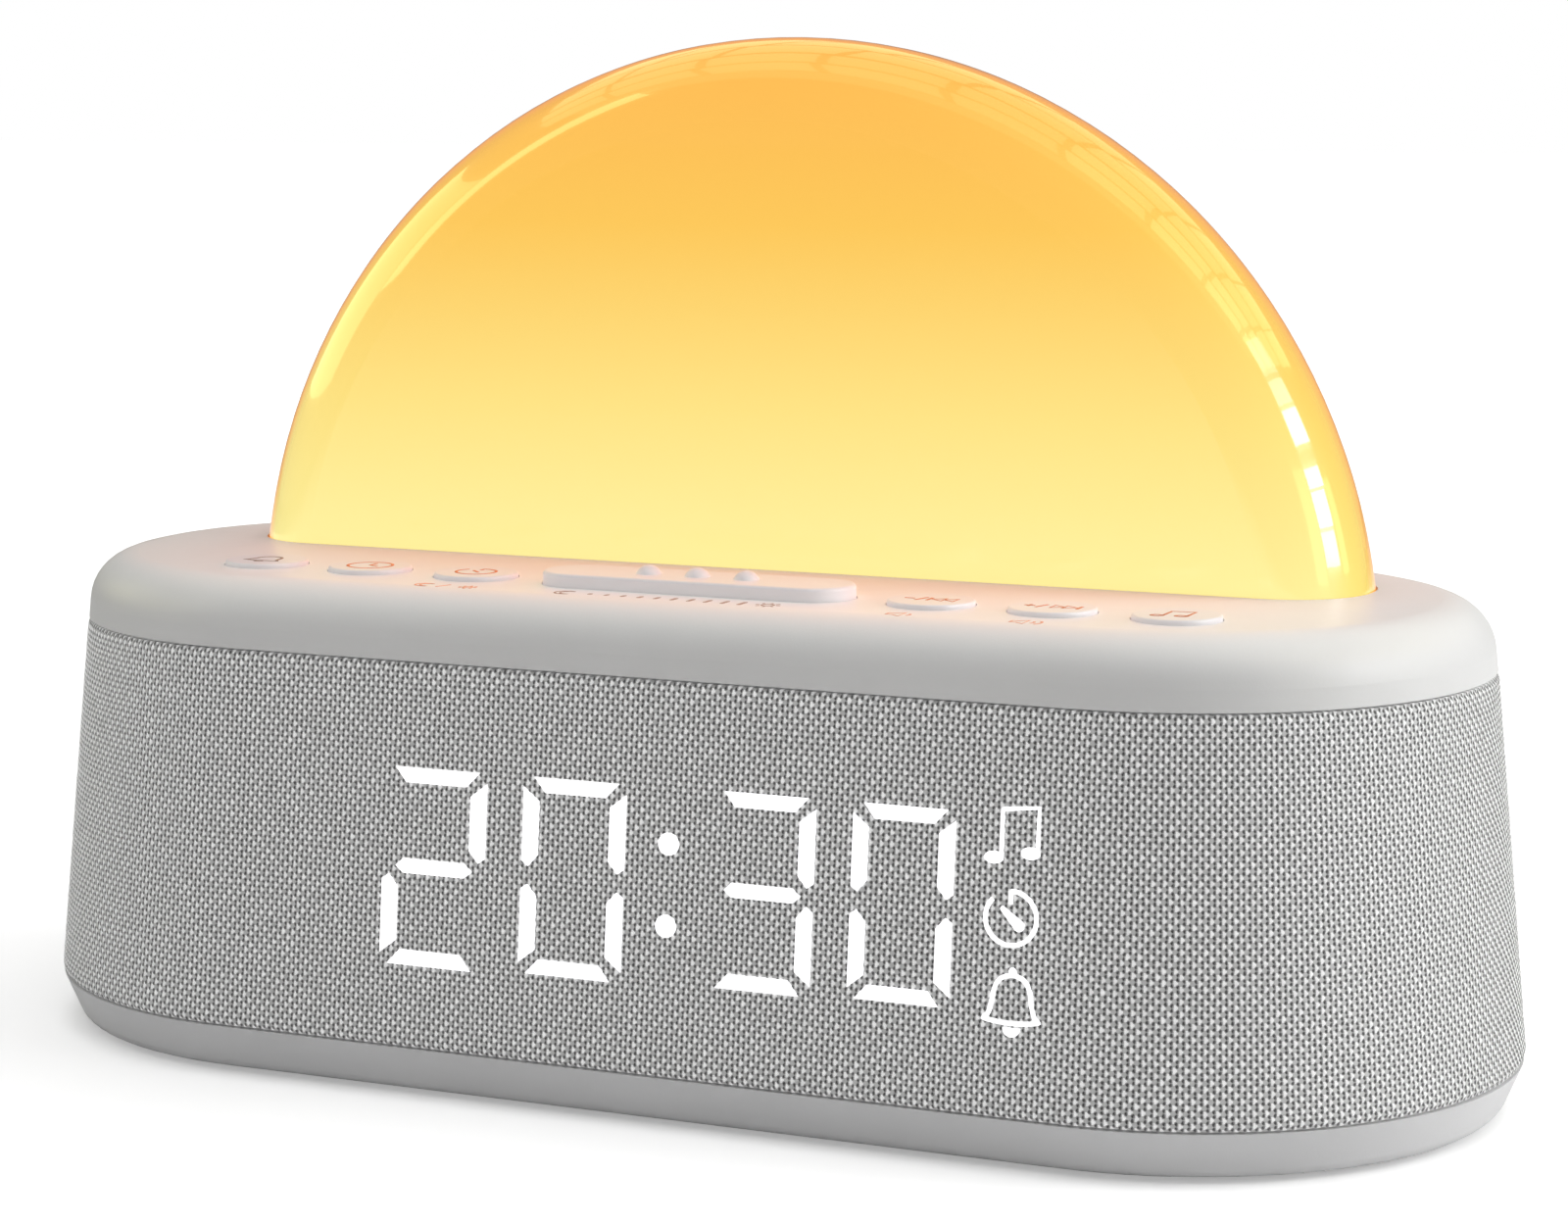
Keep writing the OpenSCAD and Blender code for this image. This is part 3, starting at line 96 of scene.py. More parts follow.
# %% Helpers for node trees
def add(tree, kind, **values):
    """One node, with its properties and its unlinked inputs set."""
    node = tree.nodes.new(kind)
    for key, value in values.items():
        if hasattr(node, key):
            setattr(node, key, value)
        else:
            node.inputs[key.replace("_", " ")].default_value = value
    return node


def wire(tree, source, target):
    tree.links.new(source, target)


def feed(tree, socket, value):
    """A number, a colour or another socket into a socket."""
    if isinstance(value, bpy.types.NodeSocket):
        wire(tree, value, socket)
    else:
        socket.default_value = value


def sum_of(tree, operation, a, b=0.0, c=None):
    """A Math node. Each operand is a number or a socket."""
    node = add(tree, "ShaderNodeMath", operation=operation)
    for k, value in enumerate((a, b) if c is None else (a, b, c)):
        feed(tree, node.inputs[k], value)
    return node.outputs[0]


def vector_of(tree, operation, a, b=None, scale=None):
    """A Vector Math node that gives a vector. Each operand is a value or a socket."""
    node = add(tree, "ShaderNodeVectorMath", operation=operation)
    for socket, value in ((0, a), (1, b), ("Scale", scale)):
        if value is not None:
            feed(tree, node.inputs[socket], value)
    return node.outputs[0]


def length_of(tree, u, v):
    """The length of a flat arrow."""
    return sum_of(tree, "SQRT", sum_of(tree, "ADD", sum_of(tree, "POWER", u, 2.0),
                                       sum_of(tree, "POWER", v, 2.0)))


def parts_of(tree, vector):
    """The x, y and z of a vector."""
    node = add(tree, "ShaderNodeSeparateXYZ")
    wire(tree, vector, node.inputs[0])
    return node.outputs


def noise_of(tree, vector, **values):
    """The outputs of a Noise Texture node that reads a vector."""
    node = add(tree, "ShaderNodeTexNoise", **values)
    wire(tree, vector, node.inputs["Vector"])
    return node.outputs


def ramp(tree, value, low, high, to_low=0.0, to_high=1.0, smooth=True):
    """A value mapped from one range to another and held at its ends."""
    node = add(tree, "ShaderNodeMapRange")
    node.interpolation_type = "SMOOTHSTEP" if smooth else "LINEAR"
    for k, item in enumerate((value, low, high, to_low, to_high)):
        feed(tree, node.inputs[k], item)
    return node.outputs[0]


def blend_of(tree, factor, a, b, mode="MIX"):
    """A colour mix. a and b are colours or sockets."""
    node = add(tree, "ShaderNodeMix", data_type="RGBA", blend_type=mode)
    feed(tree, node.inputs[0], factor)
    feed(tree, node.inputs[6], a)
    feed(tree, node.inputs[7], b)
    return node.outputs[2]


def linear(*levels):
    """A colour written as 0 to 255 screen levels, as the shader wants it."""
    return tuple(
        (c / 255 / 12.92 if c <= 10 else ((c / 255 + 0.055) / 1.055) ** 2.4) for c in levels
    ) + (1.0,)


# %% Helpers for materials and shader groups
SOCKETS = {"v": "NodeSocketVector", "f": "NodeSocketFloat", "i": "NodeSocketInt",
           "m": "NodeSocketMaterial", "g": "NodeSocketGeometry"}


def new_group(name, inputs, outputs, kind="ShaderNodeTree"):
    """An empty group with named sockets. Returns its tree and its own inputs and outputs."""
    tree = bpy.data.node_groups.new(name, kind)
    for in_out, items in (("INPUT", inputs), ("OUTPUT", outputs)):
        for label, socket in items:
            tree.interface.new_socket(label, in_out=in_out, socket_type=SOCKETS[socket])
    return tree, add(tree, "NodeGroupInput").outputs, add(tree, "NodeGroupOutput").inputs


def use_group(tree, group, **values):
    node = add(tree, "ShaderNodeGroup", node_tree=group)
    for key, value in values.items():
        feed(tree, node.inputs[key.replace("_", " ")], value)
    return node.outputs


def new_material(name, **constants):
    """A Principled material. Constants go straight onto the shader's own sockets."""
    material = bpy.data.materials.new(name)
    material.use_nodes = True
    shader = material.node_tree.nodes["Principled BSDF"]
    for key, value in constants.items():
        shader.inputs[key.replace("_", " ")].default_value = value
    return material, material.node_tree, shader


def place(tree):
    """Where a point is on the object, in metres."""
    return add(tree, "ShaderNodeTexCoord").outputs["Object"]


def bump(tree, shader, height, depth):
    """A relief of the given depth in metres."""
    node = add(tree, "ShaderNodeBump", Strength=1.0, Distance=depth)
    wire(tree, height, node.inputs["Height"])
    wire(tree, node.outputs["Normal"], shader.inputs["Normal"])


# %% [markdown]
# ## Shared effects
# Moulded plastic shows a fine spark-eroded grain, a slow change of tone and faint smears from
# hands. Metal shows short brush marks. Circuit boards show tracks under the lacquer. Each
# effect is one shader group, so all the materials that use it stay alike.

# %% Grain of moulded parts
TONE_RANGE, SMEAR_RANGE = (0.3, 0.7), (0.42, 0.68)
grain, given, gives = new_group(
    "moulded grain",
    [("Vector", "v"), ("Size", "f")],
    [("Height", "f"), ("Tone", "f"), ("Smear", "f")],
)
fine = add(grain, "ShaderNodeTexNoise", Detail=3.0, Roughness=0.6)
wire(grain, given["Vector"], fine.inputs["Vector"])
wire(grain, sum_of(grain, "DIVIDE", 1.0, given["Size"]), fine.inputs["Scale"])
wire(grain, fine.outputs["Fac"], gives["Height"])
slow = noise_of(grain, given["Vector"], Scale=38.0, Detail=4.0, Roughness=0.55)
wire(grain, ramp(grain, slow["Fac"], *TONE_RANGE), gives["Tone"])
smear = noise_of(grain, given["Vector"], Scale=90.0, Detail=5.0, Roughness=0.7, Distortion=1.4)
wire(grain, ramp(grain, smear["Fac"], *SMEAR_RANGE), gives["Smear"])

# %% Brush marks of metal
brushed, given, gives = new_group(
    "brush marks", [("Vector", "v"), ("Along", "f"), ("Across", "f")],
    [("Height", "f"), ("Tone", "f")],
)
stretched = add(brushed, "ShaderNodeCombineXYZ")
for axis, label in enumerate(("Along", "Across", "Across")):
    wire(brushed, given[label], stretched.inputs[axis])
scaled = vector_of(brushed, "MULTIPLY", given["Vector"], stretched.outputs[0])
marks = noise_of(brushed, scaled, Scale=1.0, Detail=4.0, Roughness=0.65)
wire(brushed, marks["Fac"], gives["Height"])
wire(brushed, ramp(brushed, marks["Fac"], *TONE_RANGE), gives["Tone"])

# %% Tracks of circuit boards
TRACK_EDGE, PAD_EDGE = (0.14, 0.2), (0.26, 0.32)
LENGTHWISE_FROM, PAD_FROM = 0.5, 0.86
tracks, given, gives = new_group("tracks", [("Vector", "v"), ("Pitch", "f")],
                                 [("Track", "f"), ("Pad", "f")])
steps = vector_of(tracks, "SCALE", given["Vector"],
                  scale=sum_of(tracks, "DIVIDE", 1.0, given["Pitch"]))
chance = add(tracks, "ShaderNodeTexWhiteNoise")
wire(tracks, vector_of(tracks, "FLOOR", steps), chance.inputs["Vector"])
split = parts_of(tracks, vector_of(tracks, "FRACTION", steps))
off = [sum_of(tracks, "ABSOLUTE", sum_of(tracks, "SUBTRACT", split[axis], 0.5))
       for axis in range(2)]
lengthwise = sum_of(tracks, "GREATER_THAN", chance.outputs["Value"], LENGTHWISE_FROM)
either = add(tracks, "ShaderNodeMix", data_type="FLOAT")
feed(tracks, either.inputs[0], lengthwise)
feed(tracks, either.inputs[2], off[0])
feed(tracks, either.inputs[3], off[1])
wire(tracks, ramp(tracks, either.outputs[0], *TRACK_EDGE, 1.0, 0.0), gives["Track"])
rare = sum_of(tracks, "GREATER_THAN", chance.outputs["Value"], PAD_FROM)
dot = ramp(tracks, length_of(tracks, *off), *PAD_EDGE, 1.0, 0.0)
wire(tracks, sum_of(tracks, "MULTIPLY", rare, dot), gives["Pad"])

# %% [markdown]
# ## A plain weave
# Speaker cloth is the simplest weave there is: every upright yarn passes over one cross yarn
# and under the next, and its neighbour does the opposite. The group below reads a place
# counted in yarns. It gives the upright yarn's tufts, the holes between four crossings, and a
# relief. A little noise bends the yarns, because no real thread lies straight.

# %% Weave group
TUFT, CROSS, HOLE = (0.46, 0.62, 0.55), (0.62, 0.42, 0.5), (0.29, 0.4, 0.45)
HOLE_LEAN, HOLE_LIFT = 0.35, 0.4
CROSS_HEIGHT, HOLE_DEPTH, THREAD_HEIGHT = 0.55, 0.9, 0.3
weave, given, gives = new_group(
    "plain weave", [("Yarns", "v"), ("Loose", "f")],
    [("Tuft", "f"), ("Hole", "f"), ("Height", "f"), ("Thread", "f")],
)
wobble = noise_of(weave, given["Yarns"], Scale=0.55, Detail=2.0, Roughness=0.6)["Color"]
middle = vector_of(weave, "SUBTRACT", wobble, (0.5, 0.5, 0.5))
bent = vector_of(weave, "ADD", given["Yarns"],
                 vector_of(weave, "SCALE", middle, scale=given["Loose"]))
yarn_at = parts_of(weave, bent)[0:2]


def crossing(tree, sockets):
    """The number of the nearest crossing, and how far it is each way."""
    number = [sum_of(tree, "ROUND", s) for s in sockets]
    return number, [sum_of(tree, "SUBTRACT", s, n) for s, n in zip(sockets, number)]


def oval(tree, u, v, half_u, half_v, soft):
    """1 inside an oval, falling to 0 outside it. soft is half the width of its edge."""
    reach = length_of(tree, sum_of(tree, "DIVIDE", u, half_u), sum_of(tree, "DIVIDE", v, half_v))
    return ramp(tree, reach, 1 - soft, 1 + soft, 1.0, 0.0)


def oddness(tree, number):
    """1 at every second crossing, 0 at the others."""
    return sum_of(tree, "ABSOLUTE", sum_of(tree, "MODULO", sum_of(tree, "ADD", *number), 2.0))


number, (du, dv) = crossing(weave, yarn_at)
odd = oddness(weave, number)
tuft = sum_of(weave, "MULTIPLY", sum_of(weave, "SUBTRACT", 1.0, odd),
              oval(weave, du, dv, *TUFT))
cross = sum_of(weave, "MULTIPLY", odd, oval(weave, du, dv, *CROSS))
number, (hu, hv) = crossing(weave, [sum_of(weave, "ADD", s, 0.5) for s in yarn_at])
lean = sum_of(weave, "MULTIPLY_ADD", oddness(weave, number), 2 * HOLE_LEAN, -HOLE_LEAN)
raised = sum_of(weave, "ADD", hv, sum_of(weave, "MULTIPLY", lean, HOLE_LIFT))
leaned = sum_of(weave, "ADD", hu, sum_of(weave, "MULTIPLY", lean, raised))
hole = oval(weave, leaned, raised, *HOLE)
thread = noise_of(weave, bent, Scale=5.0, Detail=3.0, Roughness=0.7)["Fac"]
wire(weave, tuft, gives["Tuft"])
wire(weave, hole, gives["Hole"])
wire(weave, thread, gives["Thread"])
yarns = sum_of(weave, "ADD", tuft, sum_of(weave, "MULTIPLY", cross, CROSS_HEIGHT))
relief = sum_of(weave, "SUBTRACT", yarns, sum_of(weave, "MULTIPLY", hole, HOLE_DEPTH))
wire(weave, sum_of(weave, "MULTIPLY_ADD", thread, THREAD_HEIGHT, relief), gives["Height"])
print("shader groups:", [g.name for g in bpy.data.node_groups])

# %% [markdown]
# ## Finishes of the hard parts
# One recipe makes each moulded or metal finish, because they differ only in numbers: colour,
# roughness, the size and depth of the grain, and how much the tone changes. The numbers are
# read from a table that is keyed by the record's material slots.

# %% Moulded finishes
def moulded(name, colour, rough, size=0.35, depth=0.02, tone=0.05, smears=0.06, **constants):
    """Plastic, rubber or paper: size and depth of the grain are in millimetres."""
    material, tree, shader = new_material(name, **constants)
    outs = use_group(tree, grain, Vector=place(tree), Size=size * MM)
    dark = tuple(c * (1 - tone) for c in colour[:3]) + (1,)
    wire(tree, blend_of(tree, outs["Tone"], dark, colour), shader.inputs["Base Color"])
    wire(tree, ramp(tree, outs["Smear"], 0, 1, rough, rough - smears, smooth=False),
         shader.inputs["Roughness"])
    bump(tree, shader, outs["Height"], depth * MM)
    return material


finishes = {
    "shell_plastic": moulded("shell plastic", linear(224, 224, 225), 0.52, 0.3, 0.015, 0.03),
    "cover_plastic": moulded("cover plastic", linear(229, 229, 228), 0.42, 0.3, 0.012, 0.02,
                             Specular_IOR_Level=0.3),
    "key_plastic": moulded("key plastic", linear(226, 226, 229), 0.4, 0.4, 0.008, 0.02),
    "white_plastic": moulded("white plastic", linear(238, 238, 235), 0.5, 0.4, 0.02),
    "black_plastic": moulded("black plastic", linear(38, 38, 40), 0.45, 0.3, 0.02, 0.2),
    "film": moulded("frosted film", linear(150, 151, 153), 0.6, 0.25, 0.02),
    "capacitor_can": moulded("capacitor sleeve", linear(44, 52, 84), 0.3, 0.8, 0.02, 0.15),
    "cone_paper": moulded("pressed paper", linear(62, 61, 62), 0.8, 0.45, 0.12, 0.3),
    "spider_cloth": moulded("stiffened cloth", linear(206, 172, 118), 0.85, 0.5, 0.1, 0.3),
    "ferrite": moulded("ferrite", linear(66, 66, 69), 0.62, 0.5, 0.08, 0.35),
    "black_rubber": moulded("soft rubber", linear(44, 44, 45), 0.62, 0.5, 0.03, 0.2),
    "foot_rubber": moulded("foot rubber", linear(92, 93, 95), 0.75, 0.45, 0.06, 0.18),
    "wire_cover": moulded("wire cover", linear(190, 52, 44), 0.42, 0.5, 0.01, 0.1),
    "ribbon_plastic": moulded("ribbon plastic", linear(205, 206, 208), 0.4, 0.5, 0.01, 0.08),
    "led_lens": moulded("diode lens", linear(250, 240, 205), 0.18, 0.5, 0.004, 0.05,
                        Coat_Weight=0.6, Coat_Roughness=0.06),
}
print("moulded finishes:", len(finishes))

# %% Painted highlight: the keys' upright sides glow a little, so that they look lighter than their tops
KEY_SIDE_PAINTED_LIGHT, SIDE_FROM, SIDE_TO = 0.2, 0.1, 0.95
tree = finishes["key_plastic"].node_tree
shader = tree.nodes["Principled BSDF"]
facing_up = parts_of(tree, add(tree, "ShaderNodeNewGeometry").outputs["Normal"])["Z"]
# Painted highlight: a faint white glow on the keys' upright sides, fading out on faces that look
# up.
shader.inputs["Emission Color"].default_value = linear(255, 244, 240)
wire(tree, ramp(tree, facing_up, SIDE_FROM, SIDE_TO, KEY_SIDE_PAINTED_LIGHT, 0.0, smooth=False),
     shader.inputs["Emission Strength"])


# %% Metal finishes
def metal(name, colour, rough, along=600, across=5200, depth=0.006, tone=0.18):
    """Plated or drawn metal: along and across set how long the brush marks are."""
    material, tree, shader = new_material(name, Metallic=1.0)
    outs = use_group(tree, brushed, Vector=place(tree), Along=float(along),
                     Across=float(across))
    dark = tuple(c * (1 - tone) for c in colour[:3]) + (1,)
    wire(tree, blend_of(tree, outs["Tone"], dark, colour), shader.inputs["Base Color"])
    wire(tree, ramp(tree, outs["Tone"], 0, 1, rough, rough + 0.1, smooth=False),
         shader.inputs["Roughness"])
    bump(tree, shader, outs["Height"], depth * MM)
    return material


finishes.update({
    "screw_steel": metal("zinc plated steel", linear(196, 198, 203), 0.3, 1800, 2600),
    "cell_steel": metal("cell steel", linear(214, 214, 216), 0.26, 500, 4200),
    "speaker_steel": metal("speaker steel", linear(96, 97, 101), 0.44, 900, 2400),
    "contact_brass": metal("contact brass", linear(222, 194, 122), 0.3, 400, 5200),
    "coil_copper": metal("coil copper", linear(196, 116, 74), 0.34, 200, 9000, 0.03),
})


# %% Circuit boards
def board(name, lacquer, track, pitch):
    """Tracks of copper show through the lacquer, and a few bare pads are tinned."""
    material, tree, shader = new_material(name, Coat_Weight=0.35, Coat_Roughness=0.2)
    here = place(tree)
    outs = use_group(tree, tracks, Vector=here, Pitch=pitch * MM)
    wear = use_group(tree, grain, Vector=here, Size=0.5 * MM)
    green = blend_of(tree, outs["Track"], lacquer, track)
    wire(tree, blend_of(tree, outs["Pad"], green, linear(205, 205, 200)),
         shader.inputs["Base Color"])
    wire(tree, ramp(tree, wear["Smear"], 0, 1, 0.38, 0.28), shader.inputs["Roughness"])
    height = sum_of(tree, "MAXIMUM", outs["Track"], outs["Pad"])
    bump(tree, shader, height, 0.04 * MM)
    return material


finishes["circuit_board"] = board("green board", linear(26, 92, 52), linear(44, 122, 70), 1.3)
finishes["white_board"] = board("white board", linear(240, 240, 236), linear(228, 228, 220), 2.2)

# %% [markdown]
# ## The lit lamp
# The lamp is one thick, milky, glossy shell with yellow diodes under it. Near the diodes it
# shows pale yellow, higher up it turns to orange, and its rounded rim, where the wall is seen
# edge on, is deeper still. The gradient is an emission colour that depends on the height and
# on the distance from the lamp's centre. A clear coat gives the sharp reflections.

# %% Lamp material
LAMP_Z, LAMP_R, LAMP_EDGE_R, LAMP_FOOT = 55.1 * MM, 82.9 * MM, 11.2 * MM, 66.2 * MM
LAMP_GLOW, BASE_SHARE = 0.92, (0.2, 0.2, 0.2, 1)
LAMP_SPILL, SPILL_LOW, SPILL_REACH = (1.8, 0.22, 0.02, 1), 0.3, 7 * MM
RIM_INNER, RIM_OUTER, RIM_SHARE = 0.35, 0.02, 0.7
EDGE_FROM, EDGE_TO, EDGE_SHARE, EDGE_COLOUR = 0.62, 0.92, 0.7, (1.5, 0.55, 0.13, 1)

lamp_shell, tree, shader = new_material(
    "lamp shell", Roughness=0.12, Coat_Weight=1.0, Coat_Roughness=0.02,
    Emission_Strength=LAMP_GLOW, IOR=1.5)
x, _, z = parts_of(tree, place(tree))
height = ramp(tree, z, LAMP_FOOT, LAMP_Z + LAMP_R, smooth=False)
bands = add(tree, "ShaderNodeValToRGB")
stops = [(0.0, (255, 242, 155)), (0.3, (255, 227, 128)), (0.65, (255, 202, 90)),
         (1.0, (255, 186, 80))]
while len(bands.color_ramp.elements) < len(stops):
    bands.color_ramp.elements.new(0.5)
for element, (at, level) in zip(bands.color_ramp.elements, stops):
    element.position, element.color = at, linear(*level)
wire(tree, height, bands.inputs[0])
reach = length_of(tree, x, sum_of(tree, "SUBTRACT", z, LAMP_Z))
rim = ramp(tree, reach, LAMP_R - RIM_INNER * LAMP_EDGE_R, LAMP_R - RIM_OUTER * LAMP_EDGE_R)
rim_colour = blend_of(tree, height, linear(255, 222, 104), linear(252, 174, 64))
edge_on = add(tree, "ShaderNodeLayerWeight", Blend=0.5)
outline = ramp(tree, edge_on.outputs["Facing"], EDGE_FROM, EDGE_TO)
glow = blend_of(tree, sum_of(tree, "MULTIPLY", rim, RIM_SHARE), bands.outputs[0], rim_colour)
glow = blend_of(tree, sum_of(tree, "MULTIPLY", outline, EDGE_SHARE), glow, EDGE_COLOUR)
ray = add(tree, "ShaderNodeLightPath")
near_foot = ramp(tree, z, LAMP_FOOT, LAMP_FOOT + SPILL_REACH, SPILL_LOW, 1.0)
spill = blend_of(tree, 1.0, LAMP_SPILL, near_foot, "MULTIPLY")
wire(tree, blend_of(tree, ray.outputs["Is Diffuse Ray"], glow, spill),
     shader.inputs["Emission Color"])
wire(tree, blend_of(tree, 1.0, glow, BASE_SHARE, "MULTIPLY"), shader.inputs["Base Color"])
finishes["lamp_shell"] = lamp_shell

# %% [markdown]
# ## Put the finishes on the nodes
# The record names a material slot for each node, so one loop dresses them all.

# %% Dress the nodes
dressed = 0
for part in frame["record"]["subparts"]:
    node = nodes[part["node"]]
    slot_name = part["material_slot"]
    if slot_name in finishes:
        node.data.materials.clear()
        node.data.materials.append(finishes[slot_name])
        dressed += 1
print("nodes dressed:", dressed, "of", len(nodes))

# %% [markdown]
# ## The cloth sleeve
# The cloth is one stretched tube around the body. Its smooth shape is a grid with one point
# at each crossing of two yarns. A Geometry Nodes tree then lifts every second crossing, where
# the upright yarn lies on top, and sinks the others. The finest relief and the colours of the
# The finest relief comes from the weave group. The yarns' colours follow its masks, and the
# tufts carry painted highlights: they are painted white and glow a little.

# %% Shape of the body's side
HALF_LENGTH = 59.0
HALF_DEPTH = 46
SIDE_LEAN = math.radians(5.3)
WAIST_Y, WAIST_Z, WAIST_R = 43.5, 7.6, 2.5
CLOTH_LOW, CLOTH_HIGH, CLOTH_T = 7.2, 57.0, 0.8
TUCK, INNER_LOW = 0.3, 7.9
FACE_Z = 32.1


def skin(z):
    """Distance of the cloth's face from the middle of the body at height z."""
    if z > WAIST_Z + WAIST_R * math.sin(SIDE_LEAN):
        return (HALF_DEPTH + WAIST_R * (1 / math.cos(SIDE_LEAN) - 1)
                - (z - WAIST_Z) * math.tan(SIDE_LEAN))
    return WAIST_Y + math.sqrt(WAIST_R ** 2 - (z - WAIST_Z) ** 2)


# %% One point for each crossing
FRONT_YARNS, END_YARNS, CROSS_YARNS = 166, 193, 67
WARPS = 2 * (FRONT_YARNS + END_YARNS)
ROWS = CROSS_YARNS + 1


def around(i, r):
    """Point number i on a stadium of radius r, from the front's left end."""
    i %= WARPS
    if i < FRONT_YARNS:
        return (-HALF_LENGTH + 2 * HALF_LENGTH * i / FRONT_YARNS, -r)
    i -= FRONT_YARNS
    if i < END_YARNS:
        angle = math.pi * (i / END_YARNS - 0.5)
        return (HALF_LENGTH + r * math.cos(angle), r * math.sin(angle))
    x, y = around(i - END_YARNS, r)
    return (-x, -y)


def sleeve_mesh():
    """The closed tube and the number of its outer points."""
    verts, faces, spots = [], [], []
    for i in range(WARPS):
        for j in range(ROWS):
            z = CLOTH_LOW + (CLOTH_HIGH - CLOTH_LOW) * j / CROSS_YARNS
            tuck = TUCK if j in (0, CROSS_YARNS) else 0.0
            x, y = around(i, skin(z) - tuck)
            verts.append((x * MM, y * MM, z * MM))
    inner = len(verts)
    for i in range(WARPS):
        for z in (CLOTH_LOW, CLOTH_HIGH):
            x, y = around(i, skin(max(z, INNER_LOW)) - CLOTH_T)
            verts.append((x * MM, y * MM, z * MM))
    for i in range(WARPS):
        k = (i + 1) % WARPS
        for j in range(CROSS_YARNS):
            faces.append((i * ROWS + j, k * ROWS + j, k * ROWS + j + 1, i * ROWS + j + 1))
            spots += [(i, j), (i + 1, j), (i + 1, j + 1), (i, j + 1)]
        a, b = inner + 2 * i, inner + 2 * k
        faces += [(b, a, a + 1, b + 1),
                  (a, b, k * ROWS, i * ROWS),
                  (b + 1, a + 1, i * ROWS + ROWS - 1, k * ROWS + ROWS - 1)]
        spots += [(i + 1, 0), (i, 0), (i, CROSS_YARNS), (i + 1, CROSS_YARNS)]
        spots += [(i, 0), (i + 1, 0), (i + 1, 0), (i, 0)]
        spots += [(i + 1, CROSS_YARNS), (i, CROSS_YARNS), (i, CROSS_YARNS), (i + 1, CROSS_YARNS)]
    mesh = bpy.data.meshes.new("cloth_sleeve")
    mesh.from_pydata(verts, [], faces)
    layer = mesh.uv_layers.new(name="yarns")
    for item, (i, j) in zip(layer.data, spots):
        item.uv = (i / WARPS, j / CROSS_YARNS)
    mesh.polygons.foreach_set("use_smooth", [True] * len(faces))
    return mesh, inner


sleeve_data, outer_points = sleeve_mesh()
print("cloth points:", len(sleeve_data.vertices))


# %% Helpers for Geometry Nodes
def new_tree(name, inputs):
    """A Geometry Nodes tree: a geometry and named inputs go in, and a geometry comes out."""
    return new_group(name, [("Geometry", "g")] + inputs, [("Geometry", "g")],
                     "GeometryNodeTree")


def close_tree(tree, geometry, given, gives):
    """Every tree ends in Realize Instances and Set Material."""
    real = add(tree, "GeometryNodeRealizeInstances")
    wire(tree, geometry, real.inputs[0])
    paint = add(tree, "GeometryNodeSetMaterial")
    wire(tree, real.outputs[0], paint.inputs["Geometry"])
    wire(tree, given["Material"], paint.inputs["Material"])
    wire(tree, paint.outputs[0], gives[0])


def run_tree(name, mesh, tree, **values):
    """The tree's result on a mesh, as a new object with a plain mesh."""
    source = bpy.data.objects.new(name + "_source", mesh)
    scene.collection.objects.link(source)
    modifier = source.modifiers.new("nodes", "NODES")
    modifier.node_group = tree
    for item in tree.interface.items_tree:
        key = item.name.replace(" ", "_")
        if item.in_out == "INPUT" and key in values:
            modifier[item.identifier] = values[key]
    result = baked(name, source)
    bpy.data.objects.remove(source)
    return result


def baked(name, source):
    """A plain copy of what the modifiers of an object make."""
    depsgraph = bpy.context.evaluated_depsgraph_get()
    mesh = bpy.data.meshes.new_from_object(
        source.evaluated_get(depsgraph), preserve_all_data_layers=True, depsgraph=depsgraph)
    mesh.name = name
    result = bpy.data.objects.new(name, mesh)
    scene.collection.objects.link(result)
    return result


# %% Tree that weaves the cloth
weaving, given, gives = new_tree("weaving", [
    ("Rows", "i"), ("Points", "i"), ("Crown", "f"), ("Slack", "f"), ("Seed", "i"),
    ("Material", "m")])
index = add(weaving, "GeometryNodeInputIndex").outputs[0]
warp = sum_of(weaving, "FLOOR", sum_of(weaving, "DIVIDE", index, given["Rows"]))
weft = sum_of(weaving, "SUBTRACT", index, sum_of(weaving, "MULTIPLY", warp, given["Rows"]))
over = sum_of(weaving, "MODULO", sum_of(weaving, "ADD", warp, weft), 2.0)
side = sum_of(weaving, "MULTIPLY_ADD", over, -2.0, 1.0)
chance = add(weaving, "FunctionNodeRandomValue", data_type="FLOAT")
wire(weaving, given["Seed"], chance.inputs["Seed"])
jitter = sum_of(weaving, "MULTIPLY", sum_of(weaving, "SUBTRACT", chance.outputs[1], 0.5),
                given["Slack"])
lift = sum_of(weaving, "ADD", sum_of(weaving, "MULTIPLY", side, given["Crown"]), jitter)
outward = vector_of(weaving, "SCALE", add(weaving, "GeometryNodeInputNormal").outputs[0],
                    scale=lift)
inside_rows = sum_of(weaving, "MULTIPLY", sum_of(weaving, "GREATER_THAN", weft, 0.5),
                     sum_of(weaving, "LESS_THAN", weft,
                            sum_of(weaving, "SUBTRACT", given["Rows"], 1.5)))
outer = sum_of(weaving, "MULTIPLY", sum_of(weaving, "LESS_THAN", index, given["Points"]),
               inside_rows)
move = add(weaving, "GeometryNodeSetPosition")
wire(weaving, given["Geometry"], move.inputs["Geometry"])
wire(weaving, outer, move.inputs["Selection"])
wire(weaving, outward, move.inputs["Offset"])
close_tree(weaving, move.outputs[0], given, gives)

